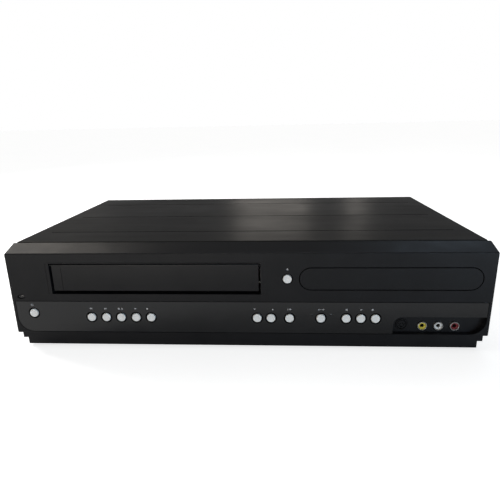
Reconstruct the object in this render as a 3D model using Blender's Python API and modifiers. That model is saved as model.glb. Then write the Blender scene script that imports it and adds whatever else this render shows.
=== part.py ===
"""DVD and video cassette combination player.

Units are metres and +Z is up. The front faces -Y and +X is to the right of a person facing it.
The origin lies on the floor under the middle of the whole player.
Depths are counted from the face of the front panel towards the back, heights from the floor.
"""
import math

import bmesh
import bpy
from mathutils import Matrix, Vector

MM = 0.001

# Clearances shared by every piece
GAP = 0.3 * MM
RUNNING_GAP = 0.5 * MM
OVERRUN = 1.0 * MM
MERGE = 0.01 * MM

# Case
CASE_WIDTH = 435 * MM
CASE_DEPTH = 249 * MM
COVER_TOP = 99.5 * MM
COVER_SHEET = 1.0 * MM
COVER_INSET = 2.5 * MM
SIDE_BOTTOM = 14.8 * MM
RIB_DEPTH = 0.4 * MM
RIB_WIDTH = 1.6 * MM
RIB_END = 15.5 * MM
RIB_DEPTH_SHARES = (0.221, 0.514, 0.829)

# Front panel
FACE_TOP = 93.1 * MM
PANEL_TOP = 99.2 * MM
SLOPE_DEPTH = 17.3 * MM
PANEL_DEPTH = 26 * MM
PANEL_WALL = 2.5 * MM
PANEL_EDGE = 0.8 * MM
BACKING_WALL = 2.0 * MM
PLINTH_INSET = 3.0 * MM
PLINTH_SIDE = 7.3 * MM
PLINTH_BOTTOM = 1.8 * MM
STEP_SIDE = 2.6 * MM
STEP_BOTTOM = 8.2 * MM

# Control strip and its groove
STRIP_SIDE = 3.0 * MM
STRIP_BOTTOM = 16.5 * MM
STRIP_TOP = 46.8 * MM
STRIP_CORNER = 14 * MM
STRIP_TOP_CORNER = 0.6 * MM
STRIP_THICKNESS = 2.2 * MM
GROOVE = 0.5 * MM

# Recess of the front sockets
SOCKET_RECESS_WIDTH = 81.0 * MM
SOCKET_RECESS_TOP = 33.0 * MM
SOCKET_RECESS_CORNER = 8 * MM
SOCKET_RECESS_DEPTH = 6.0 * MM
PHONO_INSET = 27.4 * MM
PHONO_PITCH = 14.3 * MM
PHONO_Z = 22.2 * MM
PHONO_RADIUS = 4.15 * MM
PHONO_BORE = 1.7 * MM
PHONO_BORE_DEPTH = 8 * MM
PHONO_BODY = 11 * MM
PHONO_BACK = 1.6 * MM
SVIDEO_INSET = 9.1 * MM
SVIDEO_Z = 23.3 * MM
SVIDEO_RADIUS = 5.5 * MM
SVIDEO_RING = 0.7 * MM
SVIDEO_INSERT = 3.4 * MM
SVIDEO_PROUD = 0.8 * MM
SOCKET_SETBACK = 4.2 * MM

# Buttons
BUTTON_RADIUS = 4.05 * MM
BUTTON_HOLE = 5.0 * MM
BUTTON_PROUD = 0.8 * MM
BUTTON_EDGE = 0.5 * MM
BUTTON_FLANGE = 1.2 * MM
BUTTON_FLANGE_THICKNESS = 1.2 * MM
BUTTON_STEM = 1.5 * MM
BUTTON_TRAVEL = 0.8 * MM
POWER_INSET = 19.2 * MM
POWER_Z = 35.3 * MM
ROW_Z = 31.3 * MM
TAPE_ROW_INSET = 74.2 * MM
TAPE_ROW_PITCH = 14.1 * MM
TRACKING_INSET = 228.9 * MM
TRACKING_PITCH = 12.6 * MM
DUBBING_STEP = 16.8 * MM
SOURCE_STEP = 28.2 * MM
DISC_ROW_INSET = 125.8 * MM
DISC_ROW_PITCH = 13.0 * MM
OPEN_CLOSE_GAP = 10.05 * MM

# Power lamp window
LAMP_INSET = 9.0 * MM
LAMP_Z = 51.4 * MM
LAMP_RADIUS = 1.8 * MM
LAMP_STRETCH_SHARE = 1.7
LAMP_PIPE = 1.3 * MM

# Button board
BOARD_SHEET = 1.6 * MM
FRONT_BOARD_DEPTH = 14 * MM
SWITCH_SIDE = 6 * MM
SWITCH_HEIGHT = 2.2 * MM
BOARD_MARGIN = 3 * MM
BOSS_RADIUS = 2.5 * MM
BOSS_SHARES = (-0.78, -0.22, 0.26, 0.46)

# Cassette mouth and door
MOUTH_INSET = 39.8 * MM
MOUTH_PLAY = 2.4 * MM
MOUTH_BOTTOM = 54.4 * MM
MOUTH_TOP = 83.75 * MM
MOUTH_WALL = 1.8 * MM
DOOR_SETBACK = 0.8 * MM
DOOR_THICKNESS = 2.2 * MM
DOOR_SIDE_GAP = 1.9 * MM
DOOR_TOP_GAP = 0.95 * MM
DOOR_FOOT_GAP = 2.6 * MM
DOOR_PIN = 0.8 * MM

# Disc drawer front
DRAWER_INSET = 9.75 * MM
DRAWER_Z = 69.1 * MM
DRAWER_SLOT_WIDTH = 159 * MM
DRAWER_SLOT_HEIGHT = 21.6 * MM
DRAWER_GAP = 0.9 * MM
DRAWER_FRONT = 2.6 * MM

# Bottom chassis, feet and rear panel
CHASSIS_BOTTOM = 10 * MM
CHASSIS_SHEET = 1.2 * MM
CHASSIS_FLANGE = 20 * MM
REAR_SHEET = 1.0 * MM
REAR_SETBACK = 0.8 * MM
FOOT_RADIUS = 11 * MM
FOOT_FLARE = 1.5 * MM
FOOT_PEG = 2.4 * MM
FOOT_SIDE_INSET = 37.5 * MM
FOOT_FRONT_DEPTH = 46 * MM
FOOT_REAR_INSET = 27 * MM
SCREW_HEAD = 3.6 * MM
SCREW_HEAD_HEIGHT = 1.5 * MM
SCREW_SHANK = 1.5 * MM
SCREW_LENGTH = 6 * MM
SCREW_Z = 23 * MM
SCREW_FRONT_DEPTH = 66 * MM
SCREW_REAR_INSET = 41 * MM

# Cassette and the works that load it
CASSETTE_WIDTH = 188 * MM
CASSETTE_HEIGHT = 25 * MM
CASSETTE_DEPTH = 104 * MM
CASSETTE_PLAY = 1.0 * MM
REEL_SPACING = 92 * MM
WORKS_SHEET = 1.2 * MM
HOLDER_FRONT_GAP = 5 * MM
HOLDER_DEPTH = 91 * MM
HOLDER_LEDGE = 8 * MM
HOLDER_DROP = 30 * MM
HOLDER_PIN = 1.5 * MM
PIN_INSET = 14 * MM
SLIDER_TRAVEL = 42 * MM
SLIDER_BAR = 12 * MM
SLIDER_PIN_RISE = 8 * MM
SLIDER_FOOT = 4 * MM
DECK_BOTTOM = 14 * MM
DECK_SHEET = 1.6 * MM
DECK_REAR_GAP = 4 * MM
DECK_WALL_DEPTH = 160 * MM
DECK_LEG = 4 * MM
REEL_BASE = 14 * MM
REEL_BASE_HEIGHT = 2.5 * MM
REEL_HUB = 8 * MM
REEL_HUB_HEIGHT = 6 * MM
REEL_SPINDLE = 4 * MM
REEL_HEIGHT = 15 * MM
DRUM_RADIUS = 31 * MM
DRUM_REAR_GAP = 33.2 * MM
DRUM_RISE = 4.5 * MM
DRUM_LOWER_HEIGHT = 13 * MM
DRUM_UPPER_HEIGHT = 12 * MM
DRUM_BASE = 20 * MM
DRUM_HUB = 6 * MM
DRUM_HUB_HEIGHT = 3 * MM
DRUM_TILT = 5
CAPSTAN_SIDE = 58 * MM
CAPSTAN_LEAD = 18 * MM
CAPSTAN_RADIUS = 1.6 * MM
CAPSTAN_HEIGHT = 30 * MM
CAPSTAN_FLANGE = 7 * MM
PINCH_RADIUS = 6.5 * MM
PINCH_SIDE = 12 * MM
PINCH_LEAD = 4 * MM
PINCH_PIVOT_SIDE = 22 * MM
PINCH_PIVOT_LAG = 10 * MM
PINCH_ARM_RADIUS = 4 * MM
PINCH_ARM_RISE = 5 * MM
PINCH_ARM_SHEET = 2 * MM
PINCH_PIN = 1.5 * MM
PINCH_HEIGHT = 12 * MM

# Disc drive
TRAY_WIDTH = 130 * MM
TRAY_THICKNESS = 7 * MM
TRAY_DROP = 7.1 * MM
TRAY_REAR_GAP = 13 * MM
TRAY_RIM = 5 * MM
TRAY_TAIL = 53 * MM
DISC_RECESS = 60.6 * MM
DISC_RECESS_DEPTH = 3 * MM
SMALL_DISC_RECESS = 40.6 * MM
SMALL_DISC_STEP = 1 * MM
TRAY_SLOT = 20 * MM
TRAY_SLOT_END = 7 * MM
DRIVE_SIDE = 8 * MM
DRIVE_REAR_GAP = 49.2 * MM
DRIVE_BOTTOM = 36 * MM
DRIVE_SHEET = 1.6 * MM
RAIL_LEDGE = 4 * MM
RAIL_SHEET = 2 * MM
DRIVE_LEG = 4 * MM
DRIVE_LEG_INSET = 9 * MM
GEAR_MODULE = 1.5 * MM
GEAR_TEETH = 12
TOOTH_ADDENDUM = 1.2 * MM
TOOTH_DEDENDUM = 1.8 * MM
TOOTH_BACKLASH = 0.5 * MM
PRESSURE_ANGLE = 20
RACK_SIDE_GAP = 1 * MM
GEAR_DEPTH = 36.3 * MM
GEAR_HEIGHT = 3 * MM
RACK_BACK = 4.2 * MM
RACK_SPARE_TEETH = 4
STUD_RADIUS = 1.5 * MM
LIFT_ANGLE = 5
HINGE_REAR_GAP = 22 * MM
HINGE_Z = 57 * MM
HINGE_LUG = 3 * MM
HINGE_LUG_REACH = 5 * MM
TRAVERSE_HALF = 36 * MM
TRAVERSE_FRONT_REACH = 16.5 * MM
TRAVERSE_TAIL = 4 * MM
TRAVERSE_SHEET = 2.5 * MM
TRAVERSE_BORDER = 6 * MM
WINDOW_REAR_BORDER = 23.5 * MM
GUIDE_ROD = 1.5 * MM
GUIDE_SIDE = 23 * MM
MOTOR_RADIUS = 12 * MM
MOTOR_HEIGHT = 6 * MM
TABLE_RADIUS = 15 * MM
TABLE_TOP = 68 * MM
TABLE_THICKNESS = 2 * MM
SPINDLE_RADIUS = 7.2 * MM
SPINDLE_HEIGHT = 2 * MM
SLED_HALF = 27 * MM
SLED_LENGTH = 20 * MM
SLED_HEIGHT = 6 * MM
SLED_GAP = 1.5 * MM
LENS_RADIUS = 3 * MM
LENS_HEIGHT = 1.2 * MM
BRIDGE_DEPTH = 36 * MM
BRIDGE_RISE = 10 * MM
BRIDGE_SHEET = 1.4 * MM
BRIDGE_FOOT = 6 * MM
CLAMP_RADIUS = 12.8 * MM
CLAMP_FLANGE = 2.4 * MM
CLAMP_FLANGE_HEIGHT = 1.5 * MM
CLAMP_BOTTOM_GAP = 1.4 * MM
CLAMP_RECESS = 9 * MM
CLAMP_RECESS_HEIGHT = 3 * MM

# Boards and rear fittings
BOARD_HEIGHT = 20 * MM
BOARD_LEG = 3 * MM
BOARD_LEG_INSET = 6 * MM
BOARD_ROOM = 13 * MM
MAIN_BOARD_SIDE_GAP = 15 * MM
MAIN_BOARD_FRONT_GAP = 8 * MM
MAIN_BOARD_REAR_GAP = 8.9 * MM
POWER_BOARD_LEFT_GAP = 6.7 * MM
POWER_BOARD_RIGHT_GAP = 3.25 * MM
POWER_BOARD_FRONT_GAP = 34 * MM
POWER_BOARD_REAR_GAP = 15.2 * MM
TUNER_INSET = 39.5 * MM
TUNER_WIDTH = 40 * MM
TUNER_DEPTH = 38 * MM
TUNER_HEIGHT = 32 * MM
AERIAL_RADIUS = 4.7 * MM
AERIAL_PITCH = 20 * MM
AERIAL_Z = 28 * MM
REAR_PROUD = 8 * MM
REAR_JACK_STEP = 52 * MM
REAR_JACK_Z = 22 * MM
REAR_JACK_PITCH = 14 * MM
REAR_JACK_COLUMNS = 3
REAR_JACK_ROWS = 2
REAR_JACK_PROUD = 6.5 * MM
REAR_BLOCK_DEPTH = 12 * MM
REAR_BLOCK_MARGIN = 7 * MM
FAN_STEP = 46 * MM
FAN_Z = 62 * MM
FAN_SIDE = 40 * MM
FAN_DEPTH = 10 * MM
FAN_BORE = 18.5 * MM
FAN_TIP_GAP = 1.2 * MM
FAN_HUB = 8 * MM
FAN_HUB_DEPTH = 6 * MM
FAN_BLADES = 5
FAN_BLADE_SHEET = 1.2 * MM
FAN_BLADE_CHORD = 6 * MM
FAN_BLADE_PITCH = 38
FAN_SPOKE = 3 * MM
FAN_SPOKE_DEPTH = 1.6 * MM
VENT_SLOTS = 7
VENT_SLOT_HEIGHT = 3 * MM
VENT_SLOT_PITCH = 5 * MM
VENT_WIDTH = 34 * MM
GLAND_STEP = 42 * MM
GLAND_Z = 24 * MM
GLAND_NECK = 5 * MM
GLAND_FLANGE = 1.6 * MM
GLAND_FLANGE_DEPTH = 2 * MM
GLAND_TAIL = 5 * MM
GLAND_BORE = 1.8 * MM

# Sizes that follow from those above
TOTAL_DEPTH = BUTTON_PROUD + CASE_DEPTH + REAR_PROUD
FACE_Y = BUTTON_PROUD - TOTAL_DEPTH / 2
HALF_CASE = CASE_WIDTH / 2
HALF_COVER = HALF_CASE - COVER_INSET
HALF_LIP = HALF_COVER - COVER_SHEET - GAP
HALF_CAVITY = HALF_LIP - PANEL_WALL
LIP_TOP = COVER_TOP - COVER_SHEET - GAP
CAVITY_TOP = LIP_TOP - PANEL_WALL
CAVITY_BOTTOM = SIDE_BOTTOM + PANEL_WALL
HALF_STRIP = HALF_CASE - STRIP_SIDE
STRIP_POCKET = STRIP_THICKNESS + GAP
BACKING_BACK = STRIP_POCKET + BACKING_WALL
SOCKET_WALL_BACK = SOCKET_RECESS_DEPTH + BACKING_WALL
COVER_FRONT = SLOPE_DEPTH + GAP
REAR_FACE = CASE_DEPTH - REAR_SETBACK
REAR_INSIDE = REAR_FACE - REAR_SHEET
CHASSIS_TOP = CHASSIS_BOTTOM + CHASSIS_SHEET
CHASSIS_FRONT = PANEL_DEPTH + GAP
HALF_CHASSIS = HALF_LIP
MOUTH_WIDTH = CASSETTE_WIDTH + 2 * MOUTH_PLAY
MOUTH_LEFT = MOUTH_INSET - HALF_CASE
MOUTH_RIGHT = MOUTH_LEFT + MOUTH_WIDTH
MOUTH_X = (MOUTH_LEFT + MOUTH_RIGHT) / 2
DOOR_TOP = MOUTH_TOP - DOOR_TOP_GAP
DOOR_PIVOT_DEPTH = DOOR_SETBACK + DOOR_THICKNESS / 2
DOOR_PIVOT_Z = DOOR_TOP - DOOR_THICKNESS / 2
DRAWER_X = HALF_CASE - DRAWER_INSET - DRAWER_SLOT_WIDTH / 2
OPEN_CLOSE_X = DRAWER_X - DRAWER_SLOT_WIDTH / 2 - OPEN_CLOSE_GAP
OPEN_CLOSE_Z = DRAWER_Z
SOCKET_RECESS_X = HALF_STRIP - SOCKET_RECESS_WIDTH
PHONO_X = SOCKET_RECESS_X + PHONO_INSET
PHONO_NAMES = ("video_socket", "audio_left_socket", "audio_right_socket")
PHONO_PLACES = [PHONO_X + i * PHONO_PITCH for i in range(len(PHONO_NAMES))]
SVIDEO_X = SOCKET_RECESS_X + SVIDEO_INSET
LAMP_X = LAMP_INSET - HALF_CASE
POWER_X = POWER_INSET - HALF_CASE
TAPE_ROW_X = TAPE_ROW_INSET - HALF_CASE
TRACKING_X = TRACKING_INSET - HALF_CASE
DISC_ROW_X = HALF_CASE - DISC_ROW_INSET
DUBBING_X = TRACKING_X + TRACKING_PITCH + DUBBING_STEP
SOURCE_X = DUBBING_X + SOURCE_STEP
FOOT_X = HALF_CASE - FOOT_SIDE_INSET
FOOT_REAR_DEPTH = CASE_DEPTH - FOOT_REAR_INSET
SCREW_DEPTHS = (SCREW_FRONT_DEPTH, CASE_DEPTH - SCREW_REAR_INSET)

CASSETTE_ROOM = CASSETTE_HEIGHT + CASSETTE_PLAY
HOLDER_FRONT = PANEL_DEPTH + HOLDER_FRONT_GAP
HOLDER_BACK = HOLDER_FRONT + HOLDER_DEPTH
HOLDER_INSIDE = CASSETTE_WIDTH / 2 + CASSETTE_PLAY
HOLDER_HALF = HOLDER_INSIDE + WORKS_SHEET
HOLDER_FLOOR = MOUTH_BOTTOM + CASSETTE_PLAY
HOLDER_CEILING = HOLDER_FLOOR + CASSETTE_ROOM
HOLDER_PIN_Z = (HOLDER_FLOOR + HOLDER_CEILING) / 2
PIN_DEPTHS = (HOLDER_FRONT + PIN_INSET, HOLDER_BACK - PIN_INSET)
SLIDER_INSIDE = HOLDER_HALF + RUNNING_GAP
SLIDER_HALF = SLIDER_INSIDE + WORKS_SHEET
SLIDER_CEILING = HOLDER_CEILING + WORKS_SHEET + RUNNING_GAP
SLIDER_BOTTOM = HOLDER_PIN_Z - HOLDER_DROP - SLIDER_FOOT
SLIDER_PIN_Z = HOLDER_PIN_Z + SLIDER_PIN_RISE
DECK_TOP = DECK_BOTTOM + DECK_SHEET
DECK_INSIDE = SLIDER_HALF + RUNNING_GAP
DECK_HALF = DECK_INSIDE + WORKS_SHEET
DECK_FRONT = PANEL_DEPTH + 2 * OVERRUN
DECK_BACK = REAR_INSIDE - DECK_REAR_GAP
REEL_DEPTH = HOLDER_FRONT + SLIDER_TRAVEL + CASSETTE_DEPTH / 2
DRUM_DEPTH = REAR_INSIDE - DRUM_REAR_GAP
CAPSTAN_DEPTH = DRUM_DEPTH - CAPSTAN_LEAD

TRAY_BOTTOM = DRAWER_Z - TRAY_DROP
TRAY_TOP = TRAY_BOTTOM + TRAY_THICKNESS
TRAY_FRONT = DRAWER_FRONT + GAP
DISC_DEPTH = TRAY_FRONT + TRAY_RIM + DISC_RECESS
DRIVE_HALF = TRAY_WIDTH / 2 + DRIVE_SIDE
DRIVE_FRONT = PANEL_DEPTH + OVERRUN
DRIVE_BACK = REAR_INSIDE - DRIVE_REAR_GAP
TRAY_BACK = DRIVE_BACK - TRAY_REAR_GAP
TRAY_TRAVEL = TRAY_BACK - TRAY_TAIL
RAIL_INSIDE = TRAY_WIDTH / 2 - RAIL_LEDGE
CHANNEL_HALF = TRAY_WIDTH / 2 + GAP
RAIL_TOP = TRAY_TOP + GAP + RAIL_SHEET
PITCH_RADIUS = GEAR_MODULE * GEAR_TEETH / 2
RACK_PITCH = math.pi * GEAR_MODULE
RACK_TEETH = math.floor(TRAY_TRAVEL / RACK_PITCH) + RACK_SPARE_TEETH
RACK_LINE = RAIL_INSIDE - RACK_SIDE_GAP - RACK_BACK - TOOTH_DEDENDUM
GEAR_SIDE = RACK_LINE - PITCH_RADIUS
HINGE_DEPTH = DRIVE_BACK - HINGE_REAR_GAP
TRAVERSE_FRONT = DISC_DEPTH - TRAVERSE_FRONT_REACH
TRAVERSE_BACK = HINGE_DEPTH + TRAVERSE_TAIL
TRAVERSE_TOP = HINGE_Z + TRAVERSE_SHEET / 2
WINDOW_FRONT = DISC_DEPTH + MOTOR_RADIUS + OVERRUN
WINDOW_LENGTH = HINGE_DEPTH - WINDOW_REAR_BORDER - WINDOW_FRONT
BRIDGE_BOTTOM = TRAY_TOP + BRIDGE_RISE
BRIDGE_TOP = BRIDGE_BOTTOM + BRIDGE_SHEET

MAIN_BOARD_HALF = DRIVE_HALF - MAIN_BOARD_SIDE_GAP
MAIN_BOARD_FRONT = PANEL_DEPTH + MAIN_BOARD_FRONT_GAP
MAIN_BOARD_BACK = REAR_INSIDE - GAP - TUNER_DEPTH - MAIN_BOARD_REAR_GAP
POWER_BOARD_X = (
    MOUTH_X + DECK_HALF + POWER_BOARD_LEFT_GAP, DRAWER_X - DRIVE_HALF - POWER_BOARD_RIGHT_GAP)
POWER_BOARD_FRONT = PANEL_DEPTH + POWER_BOARD_FRONT_GAP
POWER_BOARD_BACK = REAR_INSIDE - POWER_BOARD_REAR_GAP
TUNER_X = HALF_CASE - TUNER_INSET
REAR_JACK_X = TUNER_X - REAR_JACK_STEP
FAN_X = REAR_JACK_X - FAN_STEP
GLAND_X = FAN_X - GLAND_STEP

# Buttons: name, x, height, back of the wall that they pass
BUTTONS = [
    ("power_button", POWER_X, POWER_Z, BACKING_BACK),
    ("rewind_button", TAPE_ROW_X, ROW_Z, BACKING_BACK),
    ("fast_forward_button", TAPE_ROW_X + TAPE_ROW_PITCH, ROW_Z, BACKING_BACK),
    ("tape_stop_button", TAPE_ROW_X + 2 * TAPE_ROW_PITCH, ROW_Z, BACKING_BACK),
    ("tape_play_button", TAPE_ROW_X + 3 * TAPE_ROW_PITCH, ROW_Z, BACKING_BACK),
    ("tape_record_button", TAPE_ROW_X + 4 * TAPE_ROW_PITCH, ROW_Z, BACKING_BACK),
    ("tracking_down_button", TRACKING_X, ROW_Z, BACKING_BACK),
    ("tracking_up_button", TRACKING_X + TRACKING_PITCH, ROW_Z, BACKING_BACK),
    ("dubbing_button", DUBBING_X, ROW_Z, BACKING_BACK),
    ("source_button", SOURCE_X, ROW_Z, BACKING_BACK),
    ("disc_stop_button", DISC_ROW_X, ROW_Z, BACKING_BACK),
    ("disc_play_button", DISC_ROW_X + DISC_ROW_PITCH, ROW_Z, BACKING_BACK),
    ("disc_record_button", DISC_ROW_X + 2 * DISC_ROW_PITCH, ROW_Z, BACKING_BACK),
    ("open_close_button", OPEN_CLOSE_X, OPEN_CLOSE_Z, PANEL_WALL),
]

# Number of flats on round pieces
FINE_SIDES = 32
ROUND_SIDES = 20
BUTTON_SIDES = 16
SMALL_SIDES = 10
LEG_SIDES = 8
CORNER_STEPS = 6

AXES = {
    "X": Matrix.Rotation(math.radians(90), 4, "Y"),
    "-X": Matrix.Rotation(math.radians(-90), 4, "Y"),
    "-Y": Matrix.Rotation(math.radians(90), 4, "X"),
    "Y": Matrix.Rotation(math.radians(-90), 4, "X"),
    "Z": Matrix.Identity(4),
}


# Helpers

def new_collection(name):
    collection = bpy.data.collections.new(name)
    bpy.context.scene.collection.children.link(collection)
    return collection


def new_material(name, colour, roughness, metallic=0.0):
    material = bpy.data.materials.new(name)
    material.use_nodes = True
    shader = material.node_tree.nodes["Principled BSDF"]
    shader.inputs["Base Color"].default_value = (*colour, 1.0)
    shader.inputs["Roughness"].default_value = roughness
    shader.inputs["Metallic"].default_value = metallic
    return material


def add_object(name, mesh, place):
    obj = bpy.data.objects.new(name, mesh)
    PLAYER.objects.link(obj)
    obj.location = place
    return obj


def at(x, depth, z):
    """World place of a point given by its x, its depth behind the face and its height."""
    return Vector((x, FACE_Y + depth, z))


def box(name, x, depth, z, origin=None):
    """Box between pairs of x, depth and height, with its origin in its middle or where given."""
    low = at(x[0], depth[0], z[0])
    high = at(x[1], depth[1], z[1])
    origin = (low + high) / 2 if origin is None else origin
    bm = bmesh.new()
    bmesh.ops.create_cube(bm, size=1)
    bmesh.ops.scale(bm, vec=high - low, verts=bm.verts)
    bmesh.ops.translate(bm, vec=(low + high) / 2 - origin, verts=bm.verts)
    mesh = bpy.data.meshes.new(name)
    bm.to_mesh(mesh)
    bm.free()
    return add_object(name, mesh, origin)


def rods(name, centres, radius, length, axis, sides=SMALL_SIDES):
    """Like cylinders round several centres, along a named axis, as one mesh."""
    bm = bmesh.new()
    for centre in centres:
        place = Matrix.Translation(centre - centres[0]) @ AXES[axis]
        bmesh.ops.create_cone(
            bm, cap_ends=True, segments=sides, radius1=radius, radius2=radius, depth=length,
            matrix=place)
    mesh = bpy.data.meshes.new(name)
    bm.to_mesh(mesh)
    bm.free()
    return add_object(name, mesh, centres[0])


def rod(name, centre, radius, length, axis, sides=SMALL_SIDES):
    """Cylinder round a centre, along a named axis."""
    return rods(name, [centre], radius, length, axis, sides)


def turned(name, profile, place, axis="Z", sides=ROUND_SIDES):
    """Turned piece: a profile of (radius, height) pairs down its outer side."""
    mesh = bpy.data.meshes.new(name)
    points = [(radius, 0, height) for radius, height in profile]
    mesh.from_pydata(points, [(i, i + 1) for i in range(len(points) - 1)], [])
    obj = add_object(name, mesh, place)
    obj.rotation_euler = AXES[axis].to_euler()
    screw = obj.modifiers.new("Turn", "SCREW")
    screw.axis = "Z"
    screw.steps = sides
    screw.render_steps = sides
    screw.use_merge_vertices = True
    screw.merge_threshold = MERGE
    return obj


def arc(centre, radius, start, end, steps=CORNER_STEPS):
    """Points along an arc, angles in degrees."""
    points = []
    for i in range(steps + 1):
        angle = math.radians(start + (end - start) * i / steps)
        points.append((centre[0] + radius * math.cos(angle), centre[1] + radius * math.sin(angle)))
    return points


def rounded_rectangle(left, right, bottom, top, lower, upper, steps=CORNER_STEPS):
    """Outline with one radius at the lower and one at the upper corners."""
    points = arc((left + lower, bottom + lower), lower, 180, 270, steps)
    points += arc((right - lower, bottom + lower), lower, 270, 360, steps)
    points += arc((right - upper, top - upper), upper, 0, 90, steps)
    points += arc((left + upper, top - upper), upper, 90, 180, steps)
    return points


def flat_mesh(name, points, thickness):
    """Mesh of a flat outline with its thickness along Z, made as a filled 2D curve."""
    curve = bpy.data.curves.new(name, "CURVE")
    curve.dimensions = "2D"
    curve.fill_mode = "BOTH"
    curve.extrude = thickness / 2
    spline = curve.splines.new("POLY")
    spline.points.add(len(points) - 1)
    for point, (u, v) in zip(spline.points, points):
        point.co = (u, v, 0, 1)
    spline.use_cyclic_u = True
    guide = bpy.data.objects.new(name + "_outline", curve)
    PLAYER.objects.link(guide)
    graph = bpy.context.evaluated_depsgraph_get()
    mesh = bpy.data.meshes.new_from_object(guide.evaluated_get(graph))
    bpy.data.objects.remove(guide)
    bpy.data.curves.remove(curve)
    bm = bmesh.new()
    bm.from_mesh(mesh)
    bmesh.ops.remove_doubles(bm, verts=bm.verts, dist=MERGE)
    bmesh.ops.recalc_face_normals(bm, faces=bm.faces)
    bm.to_mesh(mesh)
    bm.free()
    return mesh


def face_plate(name, points, depth, origin=None):
    """Piece with an outline of (x, height) points, between two depths."""
    origin = at(0, depth[0], 0) if origin is None else origin
    mesh = flat_mesh(name, points, depth[1] - depth[0])
    mesh.transform(AXES["-Y"])
    middle = at(0, (depth[0] + depth[1]) / 2, 0)
    mesh.transform(Matrix.Translation(middle - origin))
    return add_object(name, mesh, origin)


def level_plate(name, points, z, origin=None):
    """Piece with an outline of (x, depth) points, between two heights."""
    origin = at(0, 0, z[0]) if origin is None else origin
    mesh = flat_mesh(name, points, z[1] - z[0])
    middle = at(0, 0, (z[0] + z[1]) / 2)
    mesh.transform(Matrix.Translation(middle - origin))
    return add_object(name, mesh, origin)


def side_plate(name, points, x, origin=None):
    """Piece with an outline of (depth, height) points, between two values of x."""
    origin = at(x[0], 0, 0) if origin is None else origin
    mesh = flat_mesh(name, points, x[1] - x[0])
    turn = Matrix(((0, 0, 1, 0), (1, 0, 0, 0), (0, 1, 0, 0), (0, 0, 0, 1)))
    mesh.transform(turn)
    middle = at((x[0] + x[1]) / 2, 0, 0)
    mesh.transform(Matrix.Translation(middle - origin))
    return add_object(name, mesh, origin)


def put_away(tool):
    """Moves a cutter or a joined piece to the collection that isn't part of the player."""
    PLAYER.objects.unlink(tool)
    TOOLS.objects.link(tool)
    tool.hide_render = True
    tool.display_type = "WIRE"


def combine(body, tools, operation):
    for tool in tools:
        boolean = body.modifiers.new(tool.name, "BOOLEAN")
        boolean.operation = operation
        boolean.object = tool
        put_away(tool)
    return body


def fuse(body, *tools):
    return combine(body, tools, "UNION")


def cut(body, *tools):
    return combine(body, tools, "DIFFERENCE")


def round_edges(obj, width, segments=2):
    bevel = obj.modifiers.new("Edges", "BEVEL")
    bevel.width = width
    bevel.segments = segments
    bevel.limit_method = "ANGLE"
    return obj


def dress(obj, material, smooth=False):
    obj.data.materials.clear()
    obj.data.materials.append(material)
    if smooth:
        obj.data.shade_smooth()
    return obj


# Start from an empty scene
for leftover in list(bpy.data.objects):
    bpy.data.objects.remove(leftover)

PLAYER = new_collection("disc_and_cassette_player")
TOOLS = new_collection("cutters_and_joined_pieces")

BLACK_PLASTIC = new_material("black_plastic", (0.016, 0.016, 0.018), 0.38)
STRIP_PLASTIC = new_material("strip_plastic", (0.020, 0.020, 0.023), 0.28)
BLACK_STEEL = new_material("black_painted_steel", (0.014, 0.014, 0.015), 0.42, 0.2)
BUTTON_PLASTIC = new_material("button_plastic", (0.68, 0.68, 0.68), 0.35)
RUBBER = new_material("rubber", (0.02, 0.02, 0.02), 0.8)
ZINC_STEEL = new_material("zinc_steel", (0.58, 0.59, 0.60), 0.35, 0.9)
BOARD_GREEN = new_material("board_green", (0.03, 0.16, 0.07), 0.5)
DARK_NYLON = new_material("dark_nylon", (0.06, 0.06, 0.065), 0.5)


# Case

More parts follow.
